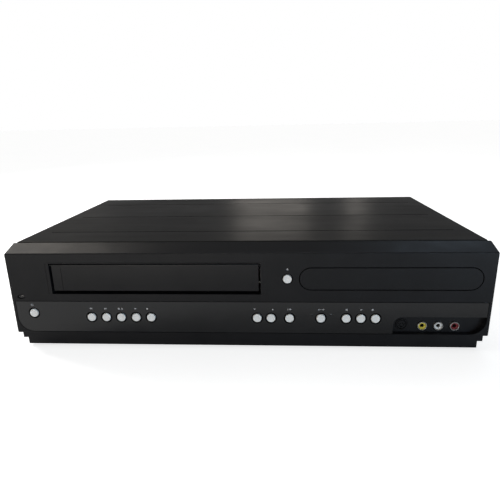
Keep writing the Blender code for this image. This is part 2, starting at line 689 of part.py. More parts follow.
def make_front_panel():
    body = side_plate(
        "front_panel",
        [(0, SIDE_BOTTOM), (SLOPE_DEPTH, SIDE_BOTTOM), (SLOPE_DEPTH, PANEL_TOP), (0, FACE_TOP)],
        (-HALF_CASE, HALF_CASE))
    round_edges(body, PANEL_EDGE)
    lip = box(
        "panel_lip", (-HALF_LIP, HALF_LIP), (SLOPE_DEPTH - PANEL_WALL, PANEL_DEPTH),
        (SIDE_BOTTOM + PANEL_EDGE, LIP_TOP))
    plinth = box(
        "panel_plinth", (-HALF_CASE + PLINTH_SIDE, HALF_CASE - PLINTH_SIDE),
        (PLINTH_INSET, PANEL_DEPTH - OVERRUN), (PLINTH_BOTTOM, CAVITY_BOTTOM - PANEL_EDGE))
    step = box(
        "panel_step", (-HALF_CASE + STEP_SIDE, HALF_CASE - STEP_SIDE),
        (PLINTH_INSET + GAP, SLOPE_DEPTH - OVERRUN), (STEP_BOTTOM, CAVITY_BOTTOM - PANEL_EDGE))
    fuse(body, lip, plinth, step)
    cavity = side_plate(
        "panel_cavity",
        [(PANEL_WALL, CAVITY_BOTTOM), (PANEL_DEPTH + OVERRUN, CAVITY_BOTTOM),
         (PANEL_DEPTH + OVERRUN, CAVITY_TOP), (SLOPE_DEPTH, CAVITY_TOP),
         (PANEL_WALL, FACE_TOP - PANEL_WALL)],
        (-HALF_CAVITY, HALF_CAVITY))
    under_plinth = box(
        "under_plinth", (-HALF_CASE + PLINTH_SIDE + PANEL_WALL, HALF_CASE - PLINTH_SIDE - PANEL_WALL),
        (PLINTH_INSET + PANEL_WALL, PANEL_DEPTH + OVERRUN), (0, SIDE_BOTTOM))
    cut(body, cavity, under_plinth)
    backing = box(
        "strip_backing", (-HALF_CAVITY - OVERRUN, HALF_CAVITY + OVERRUN),
        (PANEL_WALL / 2, BACKING_BACK), (SIDE_BOTTOM + PANEL_WALL / 2, STRIP_TOP + PANEL_WALL))
    socket_wall = box(
        "socket_backing", (SOCKET_RECESS_X - PANEL_WALL, HALF_CAVITY + OVERRUN),
        (PANEL_WALL / 2, SOCKET_WALL_BACK),
        (SIDE_BOTTOM + PANEL_WALL / 2, SOCKET_RECESS_TOP + PANEL_WALL))
    mouth = box(
        "mouth_tunnel", (MOUTH_LEFT - MOUTH_WALL, MOUTH_RIGHT + MOUTH_WALL),
        (PANEL_WALL / 2, PANEL_DEPTH - OVERRUN), (MOUTH_BOTTOM - MOUTH_WALL, MOUTH_TOP + MOUTH_WALL))
    fuse(body, backing, socket_wall, mouth)
    boss_middle = (PANEL_WALL + FRONT_BOARD_DEPTH - GAP) / 2
    bosses = rods(
        "board_bosses",
        [at(share * HALF_CASE, boss_middle, STRIP_TOP - BOARD_MARGIN) for share in BOSS_SHARES],
        BOSS_RADIUS, FRONT_BOARD_DEPTH - GAP - PANEL_WALL, "Y")
    fuse(body, bosses)
    pocket = face_plate(
        "strip_pocket",
        rounded_rectangle(
            -HALF_STRIP - GROOVE, HALF_STRIP + GROOVE, STRIP_BOTTOM - GROOVE, STRIP_TOP + GROOVE,
            STRIP_CORNER, STRIP_TOP_CORNER),
        (-OVERRUN, STRIP_POCKET))
    sockets = face_plate(
        "socket_pocket",
        socket_recess(GROOVE),
        (-OVERRUN, SOCKET_RECESS_DEPTH))
    mouth_hole = box(
        "mouth_hole", (MOUTH_LEFT, MOUTH_RIGHT), (-OVERRUN, PANEL_DEPTH), (MOUTH_BOTTOM, MOUTH_TOP))
    drawer_slot = face_plate(
        "drawer_slot",
        rounded_rectangle(
            DRAWER_X - DRAWER_SLOT_WIDTH / 2, DRAWER_X + DRAWER_SLOT_WIDTH / 2,
            DRAWER_Z - DRAWER_SLOT_HEIGHT / 2, DRAWER_Z + DRAWER_SLOT_HEIGHT / 2,
            DRAWER_SLOT_HEIGHT / 2, DRAWER_SLOT_HEIGHT / 2),
        (-OVERRUN, PANEL_WALL + OVERRUN))
    door_pins = rod(
        "door_pin_hole", at(MOUTH_X, DOOR_PIVOT_DEPTH, DOOR_PIVOT_Z), DOOR_PIN + GAP,
        MOUTH_WIDTH + 2 * MOUTH_WALL - 2 * GAP, "X", SMALL_SIDES)
    lamp = lamp_shape("lamp_hole", LAMP_RADIUS + GAP, -OVERRUN, PANEL_WALL + OVERRUN)
    cut(body, pocket, sockets, mouth_hole, drawer_slot, door_pins, lamp)
    button_holes = rods(
        "button_holes", [at(x, 0, z) for _, x, z, _ in BUTTONS], BUTTON_HOLE,
        2 * (BACKING_BACK + OVERRUN), "Y", BUTTON_SIDES)
    phono_holes = rods(
        "phono_holes", [at(x, SOCKET_RECESS_DEPTH, PHONO_Z) for x in PHONO_PLACES],
        PHONO_RADIUS + GAP, SOCKET_WALL_BACK, "Y", ROUND_SIDES)
    svideo = rod(
        "svideo_hole", at(SVIDEO_X, SOCKET_RECESS_DEPTH, SVIDEO_Z), SVIDEO_RADIUS + GAP,
        SOCKET_WALL_BACK, "Y", ROUND_SIDES)
    cut(body, button_holes, phono_holes, svideo)
    return dress(body, BLACK_PLASTIC)


def lamp_shape(name, radius, front, back):
    stretch = radius * LAMP_STRETCH_SHARE
    points = []
    for i in range(BUTTON_SIDES):
        angle = 2 * math.pi * i / BUTTON_SIDES
        points.append((LAMP_X + stretch * math.cos(angle), LAMP_Z + radius * math.sin(angle)))
    return face_plate(name, points, (front, back))


def socket_recess(growth):
    """Outline of the front sockets' recess, inside the strip's own outline."""
    left = SOCKET_RECESS_X
    right = HALF_STRIP + growth
    bottom = STRIP_BOTTOM - growth
    top = SOCKET_RECESS_TOP
    points = [(left, bottom)]
    points += arc((right - STRIP_CORNER, bottom + STRIP_CORNER), STRIP_CORNER, 270, 360)
    points += [(right, top)]
    points += arc(
        (left + SOCKET_RECESS_CORNER, top - SOCKET_RECESS_CORNER), SOCKET_RECESS_CORNER, 90, 180)
    return points


def make_control_strip():
    body = face_plate(
        "control_strip",
        rounded_rectangle(
            -HALF_STRIP, HALF_STRIP, STRIP_BOTTOM, STRIP_TOP, STRIP_CORNER, STRIP_TOP_CORNER),
        (0, STRIP_THICKNESS))
    notch = face_plate(
        "strip_notch",
        rounded_rectangle(
            SOCKET_RECESS_X, HALF_STRIP + 2 * SOCKET_RECESS_CORNER,
            STRIP_BOTTOM - 2 * SOCKET_RECESS_CORNER, SOCKET_RECESS_TOP,
            SOCKET_RECESS_CORNER, SOCKET_RECESS_CORNER),
        (-OVERRUN, STRIP_THICKNESS + OVERRUN))
    holes = rods(
        "strip_holes", [at(x, 0, z) for _, x, z, back in BUTTONS if back == BACKING_BACK],
        BUTTON_HOLE, 2 * BACKING_BACK, "Y", BUTTON_SIDES)
    cut(body, notch, holes)
    return dress(body, STRIP_PLASTIC)


def make_button(name, x, z, wall_back):
    """Round cap in its hole, with a flange behind the wall and a stem to its switch."""
    flange = BUTTON_HOLE + BUTTON_FLANGE
    flange_front = -(wall_back + GAP)
    flange_back = flange_front - BUTTON_FLANGE_THICKNESS
    stem_end = -(FRONT_BOARD_DEPTH - SWITCH_HEIGHT - BUTTON_TRAVEL - GAP)
    profile = [
        (0, BUTTON_PROUD),
        (BUTTON_RADIUS - BUTTON_EDGE, BUTTON_PROUD),
        (BUTTON_RADIUS, BUTTON_PROUD - BUTTON_EDGE),
        (BUTTON_RADIUS, flange_front),
        (flange, flange_front),
        (flange, flange_back),
        (BUTTON_STEM, flange_back),
        (BUTTON_STEM, stem_end),
        (0, stem_end),
    ]
    body = turned(name, profile, at(x, 0, z), "-Y", BUTTON_SIDES)
    return dress(body, BUTTON_PLASTIC)


def make_power_lamp():
    """Oval window with a light pipe back to the lamp on the button board."""
    body = lamp_shape("power_lamp_window", LAMP_RADIUS, GAP, PANEL_WALL)
    pipe_end = FRONT_BOARD_DEPTH - GAP
    pipe = rod(
        "lamp_pipe", at(LAMP_X, (PANEL_WALL / 2 + pipe_end) / 2, LAMP_Z), LAMP_PIPE,
        pipe_end - PANEL_WALL / 2, "Y")
    fuse(body, pipe)
    return dress(body, STRIP_PLASTIC)


def make_front_board():
    left = -HALF_CAVITY + BOARD_MARGIN
    right = HALF_CAVITY - BOARD_MARGIN
    back = FRONT_BOARD_DEPTH + BOARD_SHEET
    body = box(
        "front_board", (left, right), (FRONT_BOARD_DEPTH, back),
        (CAVITY_BOTTOM + GAP, STRIP_TOP + BOARD_MARGIN))
    tab = box(
        "board_tab", (OPEN_CLOSE_X - SWITCH_SIDE, OPEN_CLOSE_X + SWITCH_SIDE),
        (FRONT_BOARD_DEPTH, back), (STRIP_TOP, OPEN_CLOSE_Z + SWITCH_SIDE))
    fuse(body, tab)
    for name, x, z, _ in BUTTONS:
        switch = box(
            name + "_switch", (x - SWITCH_SIDE / 2, x + SWITCH_SIDE / 2),
            (FRONT_BOARD_DEPTH - SWITCH_HEIGHT, FRONT_BOARD_DEPTH + BOARD_SHEET / 2),
            (z - SWITCH_SIDE / 2, z + SWITCH_SIDE / 2))
        fuse(body, switch)
    return dress(body, BOARD_GREEN)


def make_top_cover():
    """Folded steel sheet over the top and down both sides, with pressed lines across the top."""
    outer = [(-HALF_COVER, SIDE_BOTTOM), (-HALF_COVER, COVER_TOP), (HALF_COVER, COVER_TOP),
             (HALF_COVER, SIDE_BOTTOM)]
    body = face_plate("top_cover", outer, (COVER_FRONT, CASE_DEPTH))
    round_edges(body, COVER_SHEET, 2)
    inside = box(
        "cover_inside", (-HALF_COVER + COVER_SHEET, HALF_COVER - COVER_SHEET),
        (COVER_FRONT - OVERRUN, CASE_DEPTH + OVERRUN), (0, COVER_TOP - COVER_SHEET))
    cut(body, inside)
    for i, share in enumerate(RIB_DEPTH_SHARES):
        middle = share * CASE_DEPTH
        groove = level_plate(
            f"cover_line_{i}",
            rounded_rectangle(
                -HALF_COVER + RIB_END, HALF_COVER - RIB_END, middle - RIB_WIDTH / 2,
                middle + RIB_WIDTH / 2, RIB_WIDTH / 2, RIB_WIDTH / 2, 3),
            (COVER_TOP - RIB_DEPTH, COVER_TOP + OVERRUN))
        cut(body, groove)
    for depth in SCREW_DEPTHS:
        cut(body, rod("cover_screw_holes", at(0, depth, SCREW_Z), SCREW_SHANK + GAP, 2 * CASE_WIDTH, "X"))
    return dress(body, BLACK_STEEL)


def make_bottom_chassis():
    body = box(
        "bottom_chassis", (-HALF_CHASSIS, HALF_CHASSIS), (CHASSIS_FRONT, REAR_INSIDE - GAP),
        (CHASSIS_BOTTOM, CHASSIS_BOTTOM + CHASSIS_FLANGE))
    inside = box(
        "chassis_inside", (-HALF_CHASSIS + CHASSIS_SHEET, HALF_CHASSIS - CHASSIS_SHEET),
        (CHASSIS_FRONT - OVERRUN, REAR_INSIDE + OVERRUN), (CHASSIS_TOP, CHASSIS_BOTTOM + 2 * CHASSIS_FLANGE))
    cut(body, inside)
    for x, depth in foot_places():
        cut(body, rod("foot_peg_hole", at(x, depth, CHASSIS_TOP), FOOT_PEG + GAP, CHASSIS_FLANGE, "Z"))
    for depth in SCREW_DEPTHS:
        cut(body, rod("flange_screw_holes", at(0, depth, SCREW_Z), SCREW_SHANK + GAP, 2 * CASE_WIDTH, "X"))
    return dress(body, ZINC_STEEL)


def foot_places():
    return [(side * FOOT_X, depth) for depth in (FOOT_FRONT_DEPTH, FOOT_REAR_DEPTH) for side in (-1, 1)]


def make_foot(name, x, depth):
    top = CHASSIS_BOTTOM - GAP
    profile = [
        (0, CHASSIS_TOP),
        (FOOT_PEG, CHASSIS_TOP),
        (FOOT_PEG, top),
        (FOOT_RADIUS, top),
        (FOOT_RADIUS - FOOT_FLARE, 0),
        (0, 0),
    ]
    return dress(turned(name, profile, at(x, depth, 0)), RUBBER)


def make_cover_screw(name, side, depth):
    head = HALF_COVER + GAP + SCREW_HEAD_HEIGHT
    seat = HALF_COVER + GAP
    profile = [
        (0, head),
        (SCREW_HEAD - BUTTON_EDGE, head),
        (SCREW_HEAD, head - BUTTON_EDGE),
        (SCREW_HEAD, seat),
        (SCREW_SHANK, seat),
        (SCREW_SHANK, seat - SCREW_LENGTH),
        (0, seat - SCREW_LENGTH),
    ]
    axis = "X" if side > 0 else "-X"
    return dress(turned(name, profile, at(0, depth, SCREW_Z), axis, SMALL_SIDES), BLACK_STEEL)


def make_door():
    """Cassette flap, hung on two pins at its top corners."""
    left = MOUTH_LEFT + DOOR_SIDE_GAP
    right = MOUTH_RIGHT - DOOR_SIDE_GAP
    pivot = at(MOUTH_X, DOOR_PIVOT_DEPTH, DOOR_PIVOT_Z)
    back = DOOR_SETBACK + DOOR_THICKNESS
    radius = DOOR_THICKNESS / 2
    section = [(DOOR_SETBACK, MOUTH_BOTTOM + DOOR_FOOT_GAP), (back, MOUTH_BOTTOM + DOOR_FOOT_GAP)]
    section += arc((DOOR_PIVOT_DEPTH, DOOR_PIVOT_Z), radius, 0, 180)
    body = side_plate("cassette_door", section, (left, right), pivot)
    pins = rod(
        "door_pins", pivot, DOOR_PIN, MOUTH_WIDTH + 2 * MOUTH_WALL - 4 * GAP, "X", SMALL_SIDES)
    fuse(body, pins)
    return dress(body, BLACK_PLASTIC)


def make_deck():
    """Plate on four legs, with a slotted bracket on each side that guides the carriage."""
    body = box(
        "vcr_deck", (MOUTH_X - DECK_HALF, MOUTH_X + DECK_HALF), (DECK_FRONT, DECK_BACK),
        (DECK_BOTTOM, DECK_TOP))
    for side in (-1, 1):
        inner = MOUTH_X + side * DECK_INSIDE
        outer = MOUTH_X + side * DECK_HALF
        wall = box(
            "deck_bracket", (min(inner, outer), max(inner, outer)),
            (DECK_FRONT, DECK_FRONT + DECK_WALL_DEPTH),
            (DECK_BOTTOM + DECK_SHEET / 2, SLIDER_CEILING))
        fuse(body, wall)
        for depth in (DECK_FRONT + 2 * DECK_LEG, DECK_BACK - 2 * DECK_LEG):
            leg = rod(
                "deck_leg", at(MOUTH_X + side * (DECK_INSIDE - 2 * DECK_LEG), depth,
                               (CHASSIS_TOP + GAP + DECK_TOP - DECK_SHEET / 2) / 2),
                DECK_LEG, DECK_TOP - DECK_SHEET / 2 - CHASSIS_TOP - GAP, "Z", SMALL_SIDES)
            fuse(body, leg)
    play = HOLDER_PIN + RUNNING_GAP
    slot = box(
        "deck_slot", (MOUTH_X - 2 * DECK_HALF, MOUTH_X + 2 * DECK_HALF),
        (PIN_DEPTHS[0] - play, PIN_DEPTHS[1] + SLIDER_TRAVEL + play),
        (SLIDER_PIN_Z - play, SLIDER_PIN_Z + play))
    cut(body, slot)
    return dress(body, ZINC_STEEL)


def make_slider():
    """Carriage that takes the cassette holder back, with upright slots that let it down."""
    depths = (HOLDER_FRONT, HOLDER_BACK)
    body = box(
        "loader_carriage", (MOUTH_X - SLIDER_HALF, MOUTH_X + SLIDER_HALF), depths,
        (SLIDER_BOTTOM, SLIDER_CEILING + WORKS_SHEET))
    for depth in PIN_DEPTHS:
        pin = rod(
            "carriage_pin", at(MOUTH_X, depth, SLIDER_PIN_Z), HOLDER_PIN, 2 * DECK_HALF, "X", SMALL_SIDES)
        fuse(body, pin)
    inside = box(
        "carriage_inside", (MOUTH_X - SLIDER_INSIDE, MOUTH_X + SLIDER_INSIDE),
        (depths[0] - OVERRUN, depths[1] + OVERRUN), (0, SLIDER_CEILING))
    top = box(
        "carriage_top", (MOUTH_X - HOLDER_INSIDE, MOUTH_X + HOLDER_INSIDE),
        (depths[0] + SLIDER_BAR, depths[1] - SLIDER_BAR), (0, COVER_TOP))
    cut(body, inside, top)
    play = HOLDER_PIN + RUNNING_GAP
    for depth in PIN_DEPTHS:
        slot = box(
            "carriage_slot", (MOUTH_X - 2 * DECK_HALF, MOUTH_X + 2 * DECK_HALF),
            (depth - play, depth + play),
            (HOLDER_PIN_Z - HOLDER_DROP - play, HOLDER_PIN_Z + play))
        cut(body, slot)
    return dress(body, ZINC_STEEL)


def make_holder():
    """Open-fronted sheet metal basket with a ledge down each side that carries the cassette."""
    depths = (HOLDER_FRONT, HOLDER_BACK)
    body = box(
        "cassette_holder", (MOUTH_X - HOLDER_HALF, MOUTH_X + HOLDER_HALF), depths,
        (HOLDER_FLOOR - WORKS_SHEET, HOLDER_CEILING + WORKS_SHEET))
    for depth in PIN_DEPTHS:
        pin = rod(
            "holder_pin", at(MOUTH_X, depth, HOLDER_PIN_Z), HOLDER_PIN, 2 * SLIDER_HALF, "X", SMALL_SIDES)
        fuse(body, pin)
    room = box(
        "cassette_room", (MOUTH_X - HOLDER_INSIDE, MOUTH_X + HOLDER_INSIDE),
        (depths[0] - OVERRUN, depths[1] + OVERRUN), (HOLDER_FLOOR, HOLDER_CEILING))
    floor = box(
        "open_floor", (MOUTH_X - HOLDER_INSIDE + HOLDER_LEDGE, MOUTH_X + HOLDER_INSIDE - HOLDER_LEDGE),
        (depths[0] - OVERRUN, depths[1] + OVERRUN), (0, HOLDER_CEILING))
    cut(body, room, floor)
    return dress(body, ZINC_STEEL)


def make_reel(name, side):
    seat = DECK_TOP + GAP
    profile = [
        (0, seat + REEL_HEIGHT),
        (REEL_SPINDLE - BUTTON_EDGE, seat + REEL_HEIGHT),
        (REEL_SPINDLE, seat + REEL_HEIGHT - 2 * BUTTON_EDGE),
        (REEL_SPINDLE, seat + REEL_HUB_HEIGHT),
        (REEL_HUB, seat + REEL_HUB_HEIGHT),
        (REEL_HUB, seat + REEL_BASE_HEIGHT),
        (REEL_BASE, seat + REEL_BASE_HEIGHT),
        (REEL_BASE, seat),
        (0, seat),
    ]
    place = at(MOUTH_X + side * REEL_SPACING / 2, REEL_DEPTH, 0)
    return dress(turned(name, profile, place), DARK_NYLON)


def make_drum():
    """Tilted head drum: a fixed lower half on its base and a turning upper half."""
    seat = DECK_TOP + GAP
    foot = at(MOUTH_X, DRUM_DEPTH, seat)
    tilt = math.radians(DRUM_TILT)
    lower = turned(
        "drum_lower",
        [(0, DRUM_RISE + DRUM_LOWER_HEIGHT), (DRUM_RADIUS, DRUM_RISE + DRUM_LOWER_HEIGHT),
         (DRUM_RADIUS, DRUM_RISE), (0, DRUM_RISE)],
        foot, "Z", FINE_SIDES)
    lower.rotation_euler = (tilt, 0, 0)
    base = rod(
        "drum_base", foot + Vector((0, 0, DRUM_RISE)), DRUM_BASE, 2 * DRUM_RISE, "Z", ROUND_SIDES)
    fuse(lower, base)
    rise = DRUM_RISE + DRUM_LOWER_HEIGHT + GAP
    upper = turned(
        "drum_upper",
        [(0, rise + DRUM_UPPER_HEIGHT + DRUM_HUB_HEIGHT),
         (DRUM_HUB, rise + DRUM_UPPER_HEIGHT + DRUM_HUB_HEIGHT),
         (DRUM_HUB, rise + DRUM_UPPER_HEIGHT),
         (DRUM_RADIUS, rise + DRUM_UPPER_HEIGHT),
         (DRUM_RADIUS, rise), (0, rise)],
        foot, "Z", FINE_SIDES)
    upper.rotation_euler = (tilt, 0, 0)
    dress(lower, ZINC_STEEL)
    dress(upper, ZINC_STEEL)


def make_capstan():
    seat = DECK_TOP + GAP
    profile = [
        (0, seat + CAPSTAN_HEIGHT),
        (CAPSTAN_RADIUS, seat + CAPSTAN_HEIGHT),
        (CAPSTAN_RADIUS, seat + REEL_BASE_HEIGHT),
        (CAPSTAN_FLANGE, seat + REEL_BASE_HEIGHT),
        (CAPSTAN_FLANGE, seat),
        (0, seat),
    ]
    place = at(MOUTH_X + CAPSTAN_SIDE, CAPSTAN_DEPTH, 0)
    return dress(turned("capstan", profile, place, "Z", SMALL_SIDES), ZINC_STEEL)


def make_pinch_arm():
    """Lever on its post, with a pin that carries the rubber roller."""
    capstan_x = MOUTH_X + CAPSTAN_SIDE
    pivot = at(capstan_x + PINCH_PIVOT_SIDE, CAPSTAN_DEPTH + PINCH_PIVOT_LAG, 0)
    centre = at(capstan_x + PINCH_SIDE, CAPSTAN_DEPTH - PINCH_LEAD, 0)
    reach = centre - pivot
    bearing = math.degrees(math.atan2(reach.y, reach.x))
    level = DECK_TOP + GAP + PINCH_ARM_RISE
    outline = arc((0, 0), PINCH_ARM_RADIUS, bearing + 90, bearing + 270)
    outline += arc((reach.x, reach.y), PINCH_ARM_RADIUS, bearing - 90, bearing + 90)
    mesh = flat_mesh("pinch_arm", outline, PINCH_ARM_SHEET)
    mesh.transform(Matrix.Translation((0, 0, level + PINCH_ARM_SHEET / 2)))
    body = add_object("pinch_arm", mesh, pivot)
    post_top = level + PINCH_ARM_SHEET / 2
    post = rod(
        "pinch_post", pivot + Vector((0, 0, (DECK_TOP + GAP + post_top) / 2)),
        PINCH_ARM_RADIUS - GAP, post_top - DECK_TOP - GAP, "Z", SMALL_SIDES)
    pin_top = level + PINCH_ARM_SHEET + PINCH_HEIGHT + 2 * GAP
    pin = rod(
        "pinch_pin", centre + Vector((0, 0, (post_top + pin_top) / 2)), PINCH_PIN,
        pin_top - post_top, "Z", SMALL_SIDES)
    fuse(body, post, pin)
    dress(body, ZINC_STEEL)
    low = level + PINCH_ARM_SHEET + GAP
    bore = PINCH_PIN + GAP
    roller = turned(
        "pinch_roller",
        [(bore, low + PINCH_HEIGHT), (PINCH_RADIUS, low + PINCH_HEIGHT), (PINCH_RADIUS, low),
         (bore, low), (bore, low + PINCH_HEIGHT)],
        centre, "Z", SMALL_SIDES)
    dress(roller, RUBBER)


def drive_x(side):
    return DRAWER_X + side


def make_tray_front():
    body = face_plate(
        "tray_front",
        rounded_rectangle(
            DRAWER_X - DRAWER_SLOT_WIDTH / 2 + DRAWER_GAP, DRAWER_X + DRAWER_SLOT_WIDTH / 2 - DRAWER_GAP,
            DRAWER_Z - DRAWER_SLOT_HEIGHT / 2 + DRAWER_GAP, DRAWER_Z + DRAWER_SLOT_HEIGHT / 2 - DRAWER_GAP,
            DRAWER_SLOT_HEIGHT / 2 - DRAWER_GAP, DRAWER_SLOT_HEIGHT / 2 - DRAWER_GAP, 8),
        (0, DRAWER_FRONT))
    return dress(body, BLACK_PLASTIC)


def make_tray():
    """Disc tray with two disc recesses, a slot for the spindle and a rack below one side."""
    half = TRAY_WIDTH / 2
    body = box(
        "disc_tray", (drive_x(-half), drive_x(half)), (TRAY_FRONT, TRAY_BACK), (TRAY_BOTTOM, TRAY_TOP))
    rack_front = GEAR_DEPTH - 2 * RACK_PITCH
    rack_back = rack_front + RACK_TEETH * RACK_PITCH
    rack_root = RACK_LINE + TOOTH_DEDENDUM
    low = TRAY_BOTTOM - GEAR_HEIGHT - GAP
    tip = RACK_LINE - TOOTH_ADDENDUM
    slope = math.tan(math.radians(PRESSURE_ANGLE))
    half_tooth = (RACK_PITCH - TOOTH_BACKLASH) / 4
    outline = [(drive_x(-rack_root - RACK_BACK), rack_front), (drive_x(-rack_root), rack_front)]
    for i in range(RACK_TEETH):
        middle = rack_front + (i + 0.5) * RACK_PITCH
        root_half = half_tooth + TOOTH_DEDENDUM * slope
        tip_half = half_tooth - TOOTH_ADDENDUM * slope
        outline += [
            (drive_x(-rack_root), middle - root_half),
            (drive_x(-tip), middle - tip_half),
            (drive_x(-tip), middle + tip_half),
            (drive_x(-rack_root), middle + root_half),
        ]
    outline += [(drive_x(-rack_root), rack_back), (drive_x(-rack_root - RACK_BACK), rack_back)]
    rack = level_plate("tray_rack", outline, (low, TRAY_BOTTOM + OVERRUN))
    fuse(body, rack)
    floor = TRAY_TOP - DISC_RECESS_DEPTH
    large = rod(
        "disc_recess", at(DRAWER_X, DISC_DEPTH, floor + DISC_RECESS_DEPTH), DISC_RECESS,
        2 * DISC_RECESS_DEPTH, "Z", 2 * FINE_SIDES)
    small_floor = floor - SMALL_DISC_STEP
    small = rod(
        "small_disc_recess", at(DRAWER_X, DISC_DEPTH, small_floor + DISC_RECESS_DEPTH),
        SMALL_DISC_RECESS, 2 * DISC_RECESS_DEPTH, "Z", FINE_SIDES)
    slot = box(
        "tray_slot", (drive_x(-TRAY_SLOT), drive_x(TRAY_SLOT)), (DISC_DEPTH, TRAY_BACK - TRAY_SLOT_END),
        (0, COVER_TOP))
    slot_end = rod(
        "tray_slot_end", at(DRAWER_X, DISC_DEPTH, TRAY_TOP), TRAY_SLOT, COVER_TOP, "Z", ROUND_SIDES)
    cut(body, large, small, slot, slot_end)
    return dress(body, BLACK_PLASTIC)


def make_tray_gear():
    """Pinion on an upright stud, in mesh with the rack."""
    centre = at(drive_x(-GEAR_SIDE), GEAR_DEPTH, 0)
    top = TRAY_BOTTOM - GAP
    pressure = math.radians(PRESSURE_ANGLE)
    base_radius = PITCH_RADIUS * math.cos(pressure)
    tip_radius = PITCH_RADIUS + TOOTH_ADDENDUM
    root_radius = PITCH_RADIUS - TOOTH_DEDENDUM
    pitch_half = (RACK_PITCH - TOOTH_BACKLASH) / 4 / PITCH_RADIUS
    tip_pressure = math.acos(base_radius / tip_radius)
    tip_half = pitch_half + (math.tan(pressure) - pressure) - (math.tan(tip_pressure) - tip_pressure)
    base_half = pitch_half + (math.tan(pressure) - pressure)
    flank = [
        (root_radius, -base_half), (base_radius, -base_half), (PITCH_RADIUS, -pitch_half),
        (tip_radius, -tip_half), (tip_radius, tip_half), (PITCH_RADIUS, pitch_half),
        (base_radius, base_half), (root_radius, base_half),
    ]
    outline = []
    for i in range(GEAR_TEETH):
        middle = 2 * math.pi * i / GEAR_TEETH
        for radius, angle in flank:
            outline.append((radius * math.cos(middle + angle), radius * math.sin(middle + angle)))
    mesh = flat_mesh("tray_gear", outline, GEAR_HEIGHT)
    mesh.transform(Matrix.Translation((0, 0, top - GEAR_HEIGHT / 2)))
    body = add_object("tray_gear", mesh, centre)
    cut(body, rod("gear_bore", centre + Vector((0, 0, top)), STUD_RADIUS + GAP, 2 * TRAY_BOTTOM, "Z"))
    return dress(body, DARK_NYLON)


def make_drive_frame():
    """Open-topped bed on four legs, with a channel rail down each side for the tray."""
    body = box(
        "drive_frame", (drive_x(-DRIVE_HALF), drive_x(DRIVE_HALF)), (DRIVE_FRONT, DRIVE_BACK),
        (DRIVE_BOTTOM, RAIL_TOP))
    inner = DRIVE_HALF - DRIVE_SHEET
    room = box(
        "drive_room", (drive_x(-inner), drive_x(inner)),
        (DRIVE_FRONT - OVERRUN, DRIVE_BACK - DRIVE_SHEET), (DRIVE_BOTTOM + DRIVE_SHEET, COVER_TOP))
    cut(body, room)
    rail_bottom = TRAY_BOTTOM - GAP - RAIL_SHEET
    for side in (-1, 1):
        near = drive_x(side * RAIL_INSIDE)
        far = drive_x(side * (DRIVE_HALF - DRIVE_SHEET / 2))
        rail = box(
            "tray_rail", (min(near, far), max(near, far)), (DRIVE_FRONT + GAP, DRIVE_BACK - DRIVE_SHEET / 2),
            (rail_bottom, RAIL_TOP - GAP))
        lug_x = side * (TRAVERSE_HALF + RUNNING_GAP)
        lug_far = lug_x + side * HINGE_LUG
        lug = box(
            "hinge_lug", (drive_x(min(lug_x, lug_far)), drive_x(max(lug_x, lug_far))),
            (HINGE_DEPTH - HINGE_LUG_REACH, HINGE_DEPTH + HINGE_LUG_REACH),
            (DRIVE_BOTTOM + DRIVE_SHEET / 2, HINGE_Z + GUIDE_ROD + GAP + HINGE_LUG / 2))
        fuse(body, rail, lug)
        for depth in (DRIVE_FRONT + DRIVE_LEG_INSET, DRIVE_BACK - DRIVE_LEG_INSET):
            leg = rod(
                "drive_leg",
                at(drive_x(side * (DRIVE_HALF - DRIVE_LEG - DRIVE_SHEET)), depth,
                   (CHASSIS_TOP + GAP + DRIVE_BOTTOM + DRIVE_SHEET / 2) / 2),
                DRIVE_LEG, DRIVE_BOTTOM + DRIVE_SHEET / 2 - CHASSIS_TOP - GAP, "Z", SMALL_SIDES)
            fuse(body, leg)
    stud_top = TRAY_BOTTOM - 2 * GAP
    stud = rod(
        "gear_stud", at(drive_x(-GEAR_SIDE), GEAR_DEPTH, (DRIVE_BOTTOM + DRIVE_SHEET / 2 + stud_top) / 2),
        STUD_RADIUS, stud_top - DRIVE_BOTTOM - DRIVE_SHEET / 2, "Z", SMALL_SIDES)
    seat_top = TRAY_BOTTOM - GAP - GEAR_HEIGHT - GAP
    seat = rod(
        "gear_seat", at(drive_x(-GEAR_SIDE), GEAR_DEPTH, (DRIVE_BOTTOM + DRIVE_SHEET / 2 + seat_top) / 2),
        2 * STUD_RADIUS, seat_top - DRIVE_BOTTOM - DRIVE_SHEET / 2, "Z", SMALL_SIDES)
    fuse(body, stud, seat)
    channel = box(
        "tray_channel", (drive_x(-CHANNEL_HALF), drive_x(CHANNEL_HALF)),
        (DRIVE_FRONT - OVERRUN, DRIVE_BACK + OVERRUN), (TRAY_BOTTOM - GAP, TRAY_TOP + GAP))
    hinge_hole = rod(
        "hinge_hole", at(DRAWER_X, HINGE_DEPTH, HINGE_Z), GUIDE_ROD + GAP,
        2 * (TRAVERSE_HALF + 2 * HINGE_LUG), "X", SMALL_SIDES)
    cut(body, channel, hinge_hole)
    return dress(body, DARK_NYLON)


